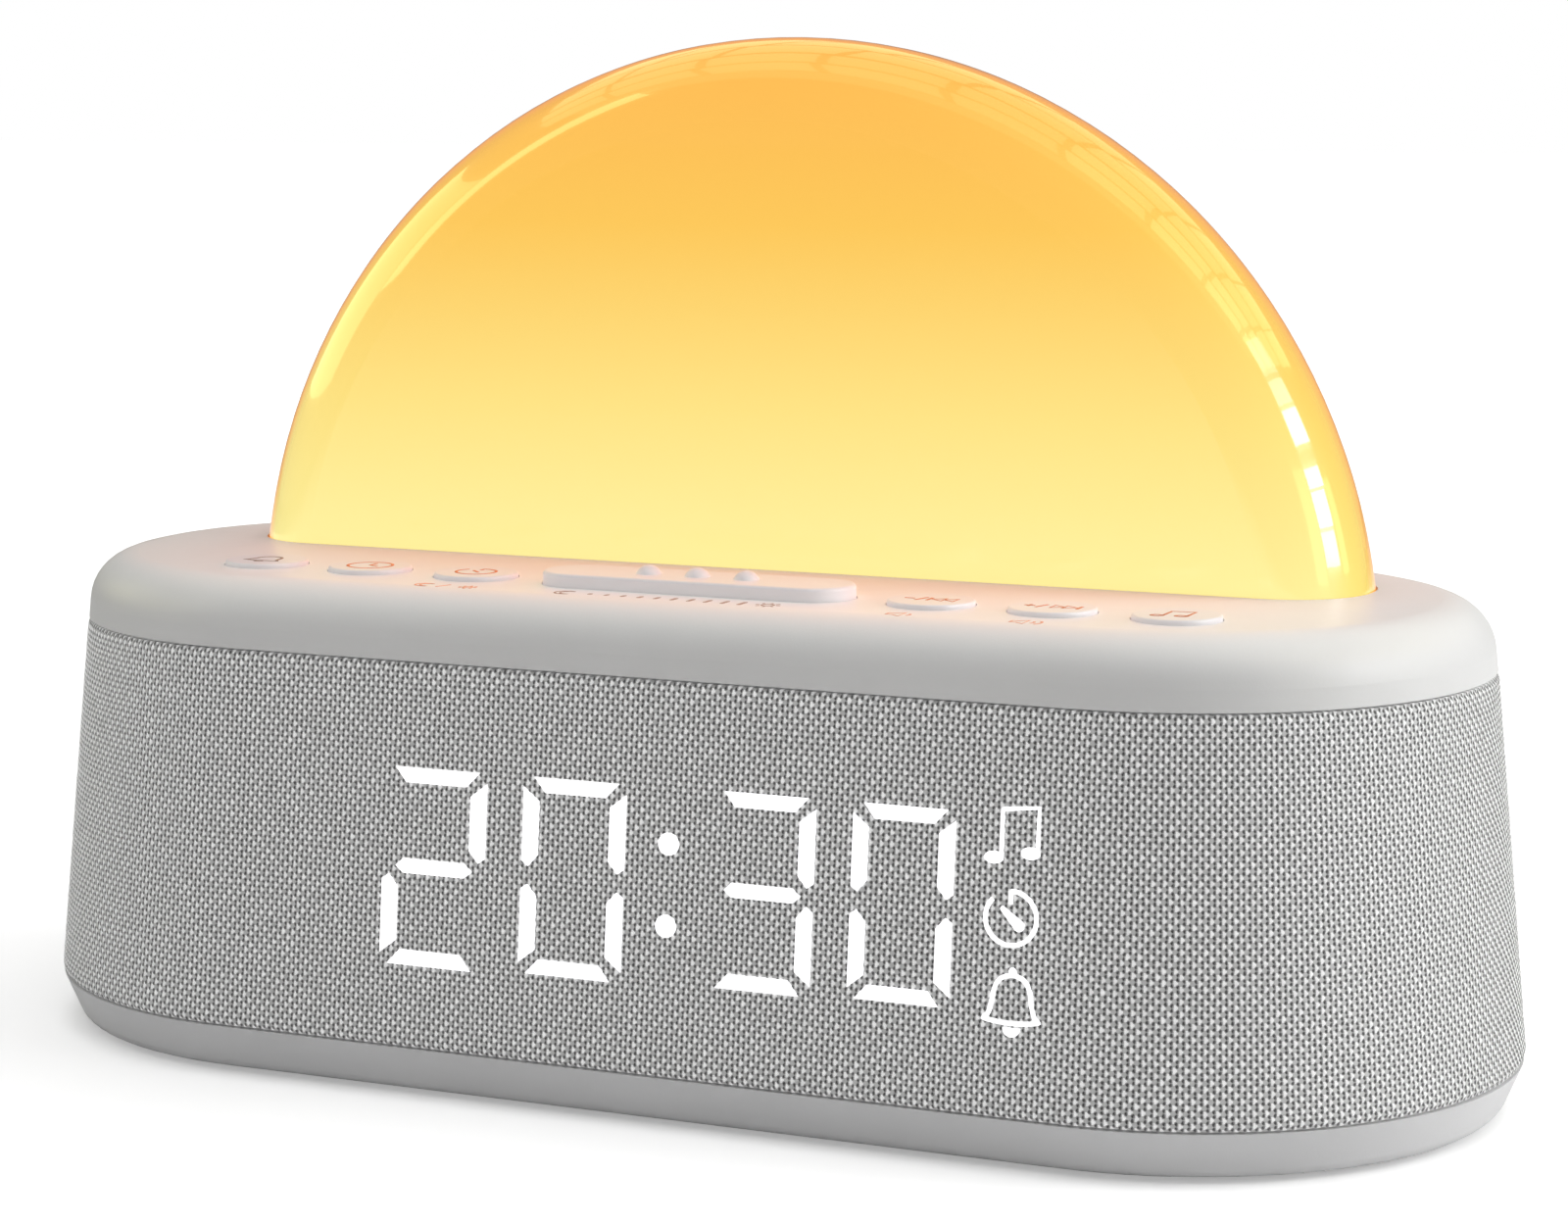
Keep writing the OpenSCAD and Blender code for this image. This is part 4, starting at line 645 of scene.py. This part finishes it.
# %% Cloth material
TUFT_PAINTED_LIGHT = 0.34
YARN_GREY, THREAD_GREY, HOLE_DARK = (216, 216, 216), (206, 206, 208), (26, 27, 29)
THREAD_SHARE, HOLE_SHARE = 0.2, 0.97
LOOSE, PATCHES, RELIEF = 0.5, (0.25, 0.75, 0.7, 1.0), 0.1 * MM
cloth, tree, shader = new_material("speaker cloth", Roughness=0.9, Sheen_Weight=0.4,
                                   Sheen_Roughness=0.6)
uv = add(tree, "ShaderNodeUVMap", uv_map="yarns").outputs[0]
count = vector_of(tree, "MULTIPLY", uv, (WARPS, CROSS_YARNS, 0))
outs = use_group(tree, weave, Yarns=count, Loose=LOOSE)
patchy = noise_of(tree, count, Scale=0.35, Detail=2.0)["Fac"]
bright = ramp(tree, patchy, *PATCHES)
# Painted highlight: the tufts of the upright yarns are painted white over the grey yarn, in
# random patches, as if they caught the light.
upright = sum_of(tree, "MULTIPLY", outs["Tuft"], bright)
yarn = blend_of(tree, upright, linear(*YARN_GREY), (1.0, 1.0, 1.0, 1.0))
yarn = blend_of(tree, sum_of(tree, "MULTIPLY", outs["Thread"], THREAD_SHARE), yarn,
                linear(*THREAD_GREY))
wire(tree, blend_of(tree, sum_of(tree, "MULTIPLY", outs["Hole"], HOLE_SHARE), yarn,
                    linear(*HOLE_DARK)), shader.inputs["Base Color"])
# The same painted highlight also makes the tufts glow a little.
wire(tree, sum_of(tree, "MULTIPLY", upright, TUFT_PAINTED_LIGHT), shader.inputs["Emission Strength"])
shader.inputs["Emission Color"].default_value = (1, 1, 1, 1)
bump(tree, shader, outs["Height"], RELIEF)

# %% Weave the sleeve and cut the panel's opening
CROWN, SLACK = 0.07 * MM, 0.05 * MM
sleeve = run_tree("sleeve_whole", sleeve_data, weaving, Rows=ROWS, Points=outer_points,
                  Crown=CROWN, Slack=SLACK, Seed=3, Material=cloth)


def on_rear(x, z):
    """A frame on the leaning rear: x along it, y up it, z out of it."""
    origin = Vector((x, skin(z), z)) * MM
    return Matrix.Translation(origin) @ Matrix.Rotation(math.pi, 4, "Z") @ Matrix.Rotation(
        math.pi / 2 - SIDE_LEAN, 4, "X")


def on_front(x, z):
    """The same on the leaning front."""
    origin = Vector((x, -skin(z), z)) * MM
    return Matrix.Translation(origin) @ Matrix.Rotation(math.pi / 2 - SIDE_LEAN, 4, "X")


def rounded_rectangle(width, height, corner, steps=8):
    """Its outline around (0, 0), with quarter circles of radius corner."""
    points = []
    for turn_no, (sx, sy) in enumerate(((1, 1), (-1, 1), (-1, -1), (1, -1))):
        for step in range(steps + 1):
            angle = math.pi / 2 * (turn_no + step / steps)
            points.append((sx * (width / 2 - corner) + corner * math.cos(angle),
                           sy * (height / 2 - corner) + corner * math.sin(angle)))
    return points


def prisms(name, outlines, low, high, frame_at):
    """Closed prisms over flat outlines, in millimetres, set in a frame."""
    shape = bmesh.new()
    for outline in outlines:
        ring = [shape.verts.new((x * MM, y * MM, low * MM)) for x, y in outline]
        base_face = shape.faces.new(ring)
        top = bmesh.ops.extrude_face_region(shape, geom=[base_face])
        lifted = [v for v in top["geom"] if isinstance(v, bmesh.types.BMVert)]
        bmesh.ops.translate(shape, verts=lifted, vec=(0, 0, (high - low) * MM))
        base_face.normal_flip()
    bmesh.ops.recalc_face_normals(shape, faces=shape.faces)
    bmesh.ops.transform(shape, matrix=frame_at, verts=shape.verts)
    mesh = bpy.data.meshes.new(name)
    shape.to_mesh(mesh)
    shape.free()
    piece = bpy.data.objects.new(name, mesh)
    scene.collection.objects.link(piece)
    return piece


PANEL_SIZE, PANEL_CORNER, PANEL_AT = (30.3, 15.3), 2.15, (30, 19.4)
CUT_LOW, CUT_HIGH = -8, 6
cutter = prisms("cutter", [rounded_rectangle(*PANEL_SIZE, PANEL_CORNER)], CUT_LOW, CUT_HIGH,
                on_rear(*PANEL_AT))
cut = sleeve.modifiers.new("opening", "BOOLEAN")
cut.object, cut.operation, cut.solver = cutter, "DIFFERENCE", "EXACT"
cloth_sleeve = baked("cloth_sleeve", sleeve)
for spare in (sleeve, cutter):
    bpy.data.objects.remove(spare)
print("cloth triangles:", sum(len(p.vertices) - 2 for p in cloth_sleeve.data.polygons))
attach(cloth_sleeve, "clock")
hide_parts("fabric_sleeve")

# %% [markdown]
# ## Lit digits and icons
# Diodes behind the cloth light it up in sharp patches. Each patch is a thin plate that lies
# in the face of the cloth and glows white.

# %% Glowing material
LIT_GLOW = 0.85
lit, tree, shader = new_material("lit patch", Emission_Strength=LIT_GLOW, Roughness=0.8)
outs = use_group(tree, grain, Vector=place(tree), Size=0.6 * MM)
white = blend_of(tree, outs["Tone"], (0.97, 0.98, 1, 1), (1, 1, 1, 1))
wire(tree, white, shader.inputs["Emission Color"])
wire(tree, white, shader.inputs["Base Color"])
bump(tree, shader, outs["Height"], 0.01 * MM)

# %% Seven-segment digits
DISPLAY_Z = FACE_Z - 0.6
LIT_LOW, LIT_HIGH, COLON_R = -0.2, 0.12, 1.45
top_bar = [(-5.7, 12.65), (6.35, 12.65), (4.5, 10.7), (-4.1, 10.7)]
upright_bar = [(7.45, 11.3), (5.15, 9.55), (5.15, 2.65), (6.5, 1.15), (7.45, 1.8)]
mid_bar = [(-5.3, 0.0), (-4.2, 1.0), (4.5, 1.0), (5.7, 0.0), (4.5, -0.9), (-4.2, -0.9)]


def mirrored(points, sx, sy):
    return [(x * sx, y * sy) for x, y in points]


def moved(points, x, y=0.0):
    return [(x + u, y + v) for u, v in points]


low_bar = moved(mirrored(top_bar, -1, -1), 0.2)
left_bar = moved(mirrored(upright_bar, -1, 1), 0.25)
BARS = {"a": top_bar, "b": upright_bar, "c": mirrored(upright_bar, 1, -1), "d": low_bar,
        "e": mirrored(left_bar, 1, -1), "f": left_bar, "g": mid_bar}
LIT_BARS = {"2": "abged", "0": "abcdef", "3": "abgcd"}
COLON_X, COLON_RISE, ICON_X, ICON_PITCH = 6.76, 5.2, 52.9, 10.2
# Each digit with its place and its stretch along and up.
DIGITS = [("2", -26.98, -0.77, 1.027, 1.02), ("0", -6.8, -0.4, 1.0, 1.0),
          ("3", 19.68, 0.1, 0.955, 0.98), ("0", 38.42, 0.4, 0.926, 0.96)]


def disc(radius, steps=36):
    turns = [2 * math.pi * k / steps for k in range(steps)]
    return [(radius * math.cos(t), radius * math.sin(t)) for t in turns]


outlines = [moved([(u * wide, v * tall) for u, v in BARS[b]], x, y)
            for digit, x, y, wide, tall in DIGITS for b in LIT_BARS[digit]]
outlines += [moved(disc(COLON_R), COLON_X, y) for y in (-COLON_RISE, COLON_RISE)]
digits = prisms("lit_digits", outlines, LIT_LOW, LIT_HIGH, on_front(0, DISPLAY_Z))
digits.data.materials.append(lit)
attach(digits, "clock")
print("lit bars:", len(outlines))

# %% [markdown]
# ## Drawn lines
# The icons on the cloth and the small signs on the keys are line drawings. A Geometry Nodes
# tree turns a drawing made of edges into flat closed ribbons of one width. It serves every
# drawing here, with its own width and thickness each time.

# %% Tree that draws flat lines
drawing, given, gives = new_tree("drawn lines", [("Width", "f"), ("Thickness", "f"),
                                                 ("Material", "m")])
curve = add(drawing, "GeometryNodeMeshToCurve")
wire(drawing, given["Geometry"], curve.inputs[0])
level = add(drawing, "GeometryNodeSetCurveNormal")
level.mode = "Z_UP"
wire(drawing, curve.outputs[0], level.inputs[0])
profile = add(drawing, "GeometryNodeCurvePrimitiveQuadrilateral")
wire(drawing, given["Width"], profile.inputs["Width"])
wire(drawing, given["Thickness"], profile.inputs["Height"])
sweep = add(drawing, "GeometryNodeCurveToMesh")
wire(drawing, level.outputs[0], sweep.inputs["Curve"])
wire(drawing, profile.outputs[0], sweep.inputs["Profile Curve"])
sweep.inputs["Fill Caps"].default_value = True
close_tree(drawing, sweep.outputs[0], given, gives)


def smooth_line(points, steps=6):
    """A soft open curve through the points, as a list of points."""
    last = len(points) - 1
    result = []
    for i in range(last):
        a, b, c, d = (points[max(0, min(last, k))] for k in range(i - 1, i + 3))
        for step in range(steps):
            t = step / steps
            result.append(tuple(
                0.5 * (2 * b[n] + (c[n] - a[n]) * t + (2 * a[n] - 5 * b[n] + 4 * c[n] - d[n])
                       * t * t + (3 * b[n] - a[n] - 3 * c[n] + d[n]) * t ** 3)
                for n in range(2)))
    return result + [points[-1]]


def arc(radius, start, end, steps=28, at=(0, 0)):
    """Points on a circle between two angles in degrees."""
    turns = [math.radians(start + (end - start) * k / steps) for k in range(steps + 1)]
    return [(at[0] + radius * math.cos(t), at[1] + radius * math.sin(t)) for t in turns]


def ring(radius, at=(0, 0), steps=32):
    return moved(disc(radius, steps), *at)


def drawn(name, lines, loops, width, thickness, material, height=0.0):
    """Open lines and closed loops as one flat piece that lies level, in millimetres."""
    verts, edges = [], []
    for points, closed in [(line, False) for line in lines] + [(loop, True) for loop in loops]:
        first = len(verts)
        verts += [(x * MM, y * MM, height * MM) for x, y in points]
        edges += [(first + k, first + k + 1) for k in range(len(points) - 1)]
        if closed:
            edges.append((len(verts) - 1, first))
    mesh = bpy.data.meshes.new(name)
    mesh.from_pydata(verts, edges, [])
    return run_tree(name, mesh, drawing, Width=width * MM, Thickness=thickness * MM,
                    Material=material)


def joined(name, pieces, frame_at, body, material):
    """Several level pieces made one, then set in a frame."""
    shape = bmesh.new()
    for piece in pieces:
        shape.from_mesh(piece.data)
        bpy.data.objects.remove(piece)
    bmesh.ops.transform(shape, matrix=frame_at, verts=shape.verts)
    bmesh.ops.recalc_face_normals(shape, faces=shape.faces)
    mesh = bpy.data.meshes.new(name)
    shape.to_mesh(mesh)
    shape.free()
    mesh.materials.append(material)
    mesh.polygons.foreach_set("material_index", [0] * len(mesh.polygons))
    result = bpy.data.objects.new(name, mesh)
    scene.collection.objects.link(result)
    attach(result, body)


# %% [markdown]
# ## Icons beside the digits
# A pair of notes, a timer and a bell. Their thick parts are filled outlines, and the rest is
# drawn with the tree.

# %% Icons on the cloth
def oval_outline(x, y, half_x, half_y, steps=24):
    turns = [2 * math.pi * k / steps for k in range(steps)]
    return [(x + half_x * math.cos(t), y + half_y * math.sin(t)) for t in turns]


def tapered(a, b, radius_a, radius_b, steps=10):
    """An outline of two round ends of different size and the sides between them."""
    turn_at = math.degrees(math.atan2(b[1] - a[1], b[0] - a[0]))
    return (arc(radius_a, turn_at + 90, turn_at + 270, steps, a)
            + arc(radius_b, turn_at - 90, turn_at + 90, steps, b))


ICON_LINE, ICON_T, ICON_MIDDLE = 0.57, 0.3, -0.04
FILL_LOW, FILL_HIGH = -0.19, 0.1
notes = [[(-1.55, -2.95), (-1.55, 2.85), (-1.3, 3.0), (3.1, 3.45), (3.1, -2.2)]]
note_heads = [oval_outline(x, y, 1.25, 0.78) for x, y in ((-2.5, -2.95), (2.2, -2.15))]
timer = [arc(3.3, 92, -222, 60), [(-0.12, 3.3), (-0.12, 1.75)]]
pointer = [tapered((-1.1, 1.1), (1.05, -0.85), 0.32, 0.72)]
bell_side = [(-3.6, -2.2), (-2.95, -1.5), (-2.55, 0.0), (-2.25, 1.6), (-1.5, 2.8), (0, 3.3)]
bell_all = bell_side + mirrored(bell_side[-2::-1], -1, 1)
bell = [smooth_line([(x + 0.5, y) for x, y in bell_all])
        + [(x + 0.5, y) for x, y in smooth_line([(3.6, -2.2), (2.0, -2.45), (0, -2.55),
                                                (-2.0, -2.45), (-3.6, -2.2)])[1:-1]]]
clapper = [moved(arc(1.15, 180, 360, 16), 0.6, -3.1)]
knob = [ring(0.5, (0.5, 3.75), 20)]
icon_parts = []
for row, (lines, loops, fills) in enumerate(
        [(notes, [], note_heads), (timer, [], pointer), ([], bell, clapper + knob)]):
    lift = ICON_PITCH * (1 - row)
    icon_parts.append(drawn(f"icon_{row}", [moved(l, 0, lift) for l in lines],
                            [moved(l, 0, lift) for l in loops], ICON_LINE, ICON_T, lit,
                            ICON_MIDDLE))
    icon_parts.append(prisms(f"icon_fill_{row}", [moved(f, 0, lift) for f in fills],
                             FILL_LOW, FILL_HIGH, Matrix()))
joined("lit_icons", icon_parts, on_front(ICON_X, DISPLAY_Z), "clock", lit)

# %% [markdown]
# ## Signs on the keys and on the cover
# Each key carries a small printed drawing: a bell, a clock face, a timer, minus and back, plus
# and forward, and a pair of notes. Below them the cover shows a moon and a sun, two speakers,
# and under the long bar a row of strokes that grow from a moon to a sun. The print is a layer of
# ink, 0.03 mm thick, that starts a little under the surface.

# %% Inks
ink = moulded("warm ink", linear(220, 130, 88), 0.6, 0.2, 0.004, 0.2)
grey_ink = moulded("grey ink", linear(150, 124, 114), 0.6, 0.2, 0.004, 0.2)
warm_print = moulded("warm print", linear(240, 176, 146), 0.6, 0.2, 0.004, 0.2)
grey_print = moulded("grey print", linear(178, 152, 140), 0.6, 0.2, 0.004, 0.2)
INK_LINE, PRINT_LINE, ROW_LINE = 0.42, 0.34, 0.3
INK_T, INK_SINK = 0.03, 0.005
INK_MIDDLE = INK_T / 2 - INK_SINK


# %% Small drawings
def skip(sign):
    """Two triangles and a bar that point to one side."""
    shape = [[(0.35, 0), (1.95, 1.15), (1.95, -1.15)], [(1.95, 0), (3.55, 1.15), (3.55, -1.15)]]
    bar_line = [(0.0, 1.15), (0.0, -1.15)]
    if sign > 0:
        shape = [[(3.9 - x, y) for x, y in loop] for loop in shape]
        bar_line = [(3.9 - x, y) for x, y in bar_line]
    return shape, bar_line


def moon(at, radius):
    """A crescent as one closed outline."""
    outer_arc = arc(radius, 60, 300, 24, at)
    inner_arc = arc(radius * 0.86, 285, 75, 20, (at[0] + radius * 0.42, at[1]))
    return outer_arc + inner_arc


def sun(at, radius, rays=8, start=1.45, end=2.1):
    """The rays around a sun's disc. start and end are shares of its radius."""
    turns = [2 * math.pi * k / rays for k in range(rays)]
    return [[(at[0] + math.cos(t) * radius * share, at[1] + math.sin(t) * radius * share)
             for share in (start, end)] for t in turns]


def speaker_sign(at, waves):
    """The loop of a speaker and the open lines of its sound waves."""
    box_line = [(-1.95, 0.6), (-1.1, 0.6), (0.0, 1.5), (0.0, -1.5), (-1.1, -0.6), (-1.95, -0.6)]
    sweeps = [arc(1.05 + 0.95 * k, -42, 42, 10) for k in range(waves)]
    return ([moved(box_line, *at)], [moved(w, *at) for w in sweeps])


back_shape, back_bar = skip(-1)
next_shape, next_bar = skip(1)
small_bell = [(x * 0.72, y * 0.72) for x, y in bell_all]
signs = {
    "alarm_button": ([arc(0.65, 200, 340, 8, (0, -1.95))],
                     [smooth_line(small_bell) + [(1.2, -1.72), (-1.2, -1.72)]], grey_ink),
    "time_button": ([[(0, 1.9), (0, 0), (1.5, -0.75)]], [ring(3.05)], ink),
    "timer_button": ([arc(2.7, 92, -222, 44), [(-0.1, 2.7), (-0.1, 1.5)],
                      [(-0.9, 0.9), (0.7, -0.7)]], [], ink),
    "previous_button": ([[(-3.6, 0), (-2.2, 0)], [(-1.7, -1.3), (-0.9, 1.3)],
                         moved(back_bar, -0.2)], [moved(l, -0.2) for l in back_shape], ink),
    "next_button": ([[(-3.7, 0), (-2.3, 0)], [(-3.0, 0.7), (-3.0, -0.7)],
                     [(-1.8, -1.3), (-1.0, 1.3)], moved(next_bar, -0.3)],
                    [moved(l, -0.3) for l in next_shape], ink),
    "sound_button": ([[(-1.25, -2.0), (-1.25, 1.9), (1.75, 2.3), (1.75, -1.6)]],
                     [oval_outline(x, y, 0.75, 0.5) for x, y in ((-1.95, -2.0), (1.05, -1.6))],
                     ink),
}
for node_name, (lines, loops, colour) in signs.items():
    low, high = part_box(node_name)
    spot = Matrix.Translation(((low.x + high.x) / 2, (low.y + high.y) / 2, high.z))
    name, body = (node_name.replace("_button", end) for end in ("_sign", "_key"))
    part = drawn(name + "_part", lines, loops, INK_LINE, INK_T, colour, INK_MIDDLE)
    joined(name, [part], spot, body, colour)
print("signs on keys:", len(signs))

# %% Print on the cover
COVER_TOP, LABEL_Y, ROW_Y = 66.2, -33.2, -32.5
MOON_X, SLASH_X, SUN_X, QUIET_X, LOUD_X = -33.6, (-31.3, -30.4), -27.2, 34.2, 50.6
MOON_R, SUN_R, SLASH_RISE = 1.25, 0.62, 1.2
low_volume, low_waves = speaker_sign((QUIET_X, LABEL_Y), 1)
high_volume, high_waves = speaker_sign((LOUD_X, LABEL_Y), 2)
slash = [(SLASH_X[0], LABEL_Y - SLASH_RISE), (SLASH_X[1], LABEL_Y + SLASH_RISE)]
warm_lines = sun((SUN_X, LABEL_Y), SUN_R) + [slash] + low_waves + high_waves
warm_loops = ([moon((MOON_X, LABEL_Y), MOON_R), ring(SUN_R, (SUN_X, LABEL_Y), 16)]
              + low_volume + high_volume)
print_at = Matrix.Translation((0, 0, COVER_TOP * MM))
warm = drawn("cover_part", warm_lines, warm_loops, PRINT_LINE, INK_T, warm_print, INK_MIDDLE)
joined("cover_signs", [warm], print_at, "clock", warm_print)
STROKES, STROKE_W, STROKE_CORNER = 10, 0.6, 0.25
FIRST_H, GROWTH, FIRST_X, STROKE_PITCH = 0.9, 0.2, -9.6, 2.4
ROW_MOON, ROW_MOON_R, ROW_SUN, ROW_SUN_R = (-13.2, ROW_Y), 1.4, (15.6, ROW_Y), 0.8
bars = [moved(rounded_rectangle(STROKE_W, FIRST_H + GROWTH * k, STROKE_CORNER, 3),
              FIRST_X + STROKE_PITCH * k, ROW_Y) for k in range(STROKES)]
row_parts = [
    drawn("row_part", sun(ROW_SUN, ROW_SUN_R),
          [moon(ROW_MOON, ROW_MOON_R), ring(ROW_SUN_R, ROW_SUN, 20)],
          ROW_LINE, INK_T, grey_print, INK_MIDDLE),
    prisms("row_bars", bars, -INK_SINK, INK_T - INK_SINK, Matrix()),
]
joined("snooze_signs", row_parts, print_at, "clock", grey_print)

# %% [markdown]
# ## The studio
# A pale floor and a white surround, a large soft lamp above, two on the right, and weaker
# ones from the front and the left. The camera sees the surround as plain white, while the
# lamps stay at a level at which colours show as they are written. The glossy lamp shell
# mirrors the room: a barred window on the right, two panes on the left and a panelled ceiling.

# %% Floor
FLOOR_LIFT, FADE_FROM, FADE_TO = 0.37, 0.25, 0.8
FLOOR_TONE, FLOOR_SIZE, FLOOR_GAP = (0.86, 0.86, 0.86, 1), 12, 0.05 * MM
floor_material, tree, shader = new_material("studio floor", Roughness=0.9)
shader.inputs["Base Color"].default_value = FLOOR_TONE
shader.inputs["Specular IOR Level"].default_value = 0.1
shader.inputs["Emission Color"].default_value = (1, 1, 1, 1)
ray = add(tree, "ShaderNodeLightPath")
seen = sum_of(tree, "MAXIMUM", ray.outputs["Is Camera Ray"], ray.outputs["Is Transmission Ray"])
far = add(tree, "ShaderNodeVectorMath", operation="LENGTH")
wire(tree, place(tree), far.inputs[0])
lift = ramp(tree, far.outputs["Value"], FADE_FROM, FADE_TO, FLOOR_LIFT, 1.0)
wire(tree, sum_of(tree, "MULTIPLY", seen, lift), shader.inputs["Emission Strength"])
bpy.ops.mesh.primitive_grid_add(x_subdivisions=2, y_subdivisions=2, size=FLOOR_SIZE)
floor = bpy.context.object
floor.name = "floor"
floor.location.z = -FLOOR_GAP
floor.data.materials.append(floor_material)

# %% World and lamps
FILL, GLOSS_FILL = 0.062, 0.15
world = bpy.data.worlds.new("studio")
scene.world = world
world.use_nodes = True
tree = world.node_tree
ray = add(tree, "ShaderNodeLightPath")
seen = sum_of(tree, "MAXIMUM", ray.outputs["Is Camera Ray"], ray.outputs["Is Transmission Ray"])
background = tree.nodes["Background"]
background.inputs["Color"].default_value = (1, 1, 1, 1)
unseen = ramp(tree, ray.outputs["Is Glossy Ray"], 0, 1, FILL, GLOSS_FILL, smooth=False)
wire(tree, ramp(tree, seen, 0, 1, unseen, 1.0, smooth=False), background.inputs["Strength"])


def soft_lamp(name, at, size, power, aim=(0, 0, 0.06), shown=True, lights=True):
    """An area lamp. shown lets it appear in reflections, lights lets it light the object."""
    lamp = bpy.data.lights.new(name, "AREA")
    lamp.shape, lamp.size, lamp.size_y = "RECTANGLE", size[0], size[1]
    lamp.energy = power
    holder = bpy.data.objects.new(name, lamp)
    scene.collection.objects.link(holder)
    holder.location = at
    holder.rotation_euler = (Vector(aim) - Vector(at)).to_track_quat("-Z", "Y").to_euler()
    holder.visible_glossy, holder.visible_diffuse = shown, lights
    return holder


LAMPS = {
    "lamp_above": ((0.0, 0.1, 1.3), (1.2, 1.2), 9.8),
    "lamp_high_right": ((0.9, 0.1, 0.9), (0.6, 0.6), 2.3),
    "lamp_right_back": ((1.0, 0.4, 0.35), (0.5, 0.6), 6.3),
    "lamp_high_front": ((0.3, -0.8, 1.15), (0.9, 0.8), 3.1),
    "lamp_left": ((-1.1, -0.3, 0.6), (0.4, 0.9), 1.65),
}
for name, (at, size, power) in LAMPS.items():
    soft_lamp(name, at, size, power, shown=False)


# %% Windows and ceiling panels that only show in the gloss
def pane(name, centre, size, brightness, facing, tint=(1, 1, 1)):
    """A panel seen in reflections only. brightness is the light it sends out per area."""
    panel = soft_lamp(name, centre, size, brightness * math.pi * size[0] * size[1],
                      [c + f for c, f in zip(centre, facing)], lights=False)
    panel.data.color = tint
    return panel


WARM, SUNNY = (1.0, 0.82, 0.4), (1.0, 0.95, 0.42)
LEFTWARD, RIGHTWARD, DOWNWARD = (-1, 0, 0), (1, 0, 0), (0, 0, -1)
WINDOW_X, WINDOW_EDGE = 1.0, 0.19
# Rows of panes: bottom, top, width and brightness.
WINDOW_ROWS = [(0.175, 0.258, 0.36, 9), (0.266, 0.358, 0.38, 11), (0.372, 0.424, 0.42, 11),
               (0.485, 0.59, 0.46, 11), (0.606, 0.69, 0.46, 4), (0.71, 0.84, 0.46, 2)]
for number, (low, high, width, brightness) in enumerate(WINDOW_ROWS):
    pane(f"window_{number}", (WINDOW_X, width / 2 - WINDOW_EDGE, (low + high) / 2),
         (width, high - low), brightness, LEFTWARD)
CEILING_Z, PITCH, PANEL_W = 1.3, 0.37, 0.338
PANES = [
    ("window_side_front", (WINDOW_X, -0.37, 0.28), (0.3, 0.3), 1.8, LEFTWARD, SUNNY),
    ("window_side_back", (WINDOW_X, 0.33, 0.27), (0.2, 0.24), 2.0, LEFTWARD, SUNNY),
    ("window_left", (-WINDOW_X, -0.07, 0.44), (0.8, 0.46), 1.75, RIGHTWARD, SUNNY),
    ("window_left_front", (-WINDOW_X, -0.6, 0.82), (0.22, 0.92), 3.0, RIGHTWARD, SUNNY),
    ("ceiling_front", (0.2, -0.5, CEILING_Z), (3.0, 0.26), 0.5, DOWNWARD, WARM),
]
for values in PANES:
    pane(*values)
CEILING_LEFT, CEILING_RIGHT = -4, 4
CEILING_GLOW, CEILING_TURN = 1.1, math.radians(3)
# Rows of panels: near end, far end, and how fast they brighten to the right.
CEILING_ROWS = [(-0.35, -0.03, 0.62), (0.01, 0.36, 0.5), (0.42, 0.93, 0.25), (0.98, 1.9, 0.25)]
for number in range(CEILING_LEFT, CEILING_RIGHT + 1):
    for row, (start, end, rise) in enumerate(CEILING_ROWS):
        brightness = CEILING_GLOW + rise * max(0, number)
        x, y = PITCH * (number + 0.5), (start + end) / 2
        panel = pane(f"ceiling_{number - CEILING_LEFT}_{row}", (x, y, CEILING_Z),
                     (PANEL_W, end - start), brightness, DOWNWARD, WARM)
        panel.rotation_euler = (0, 0, CEILING_TURN)
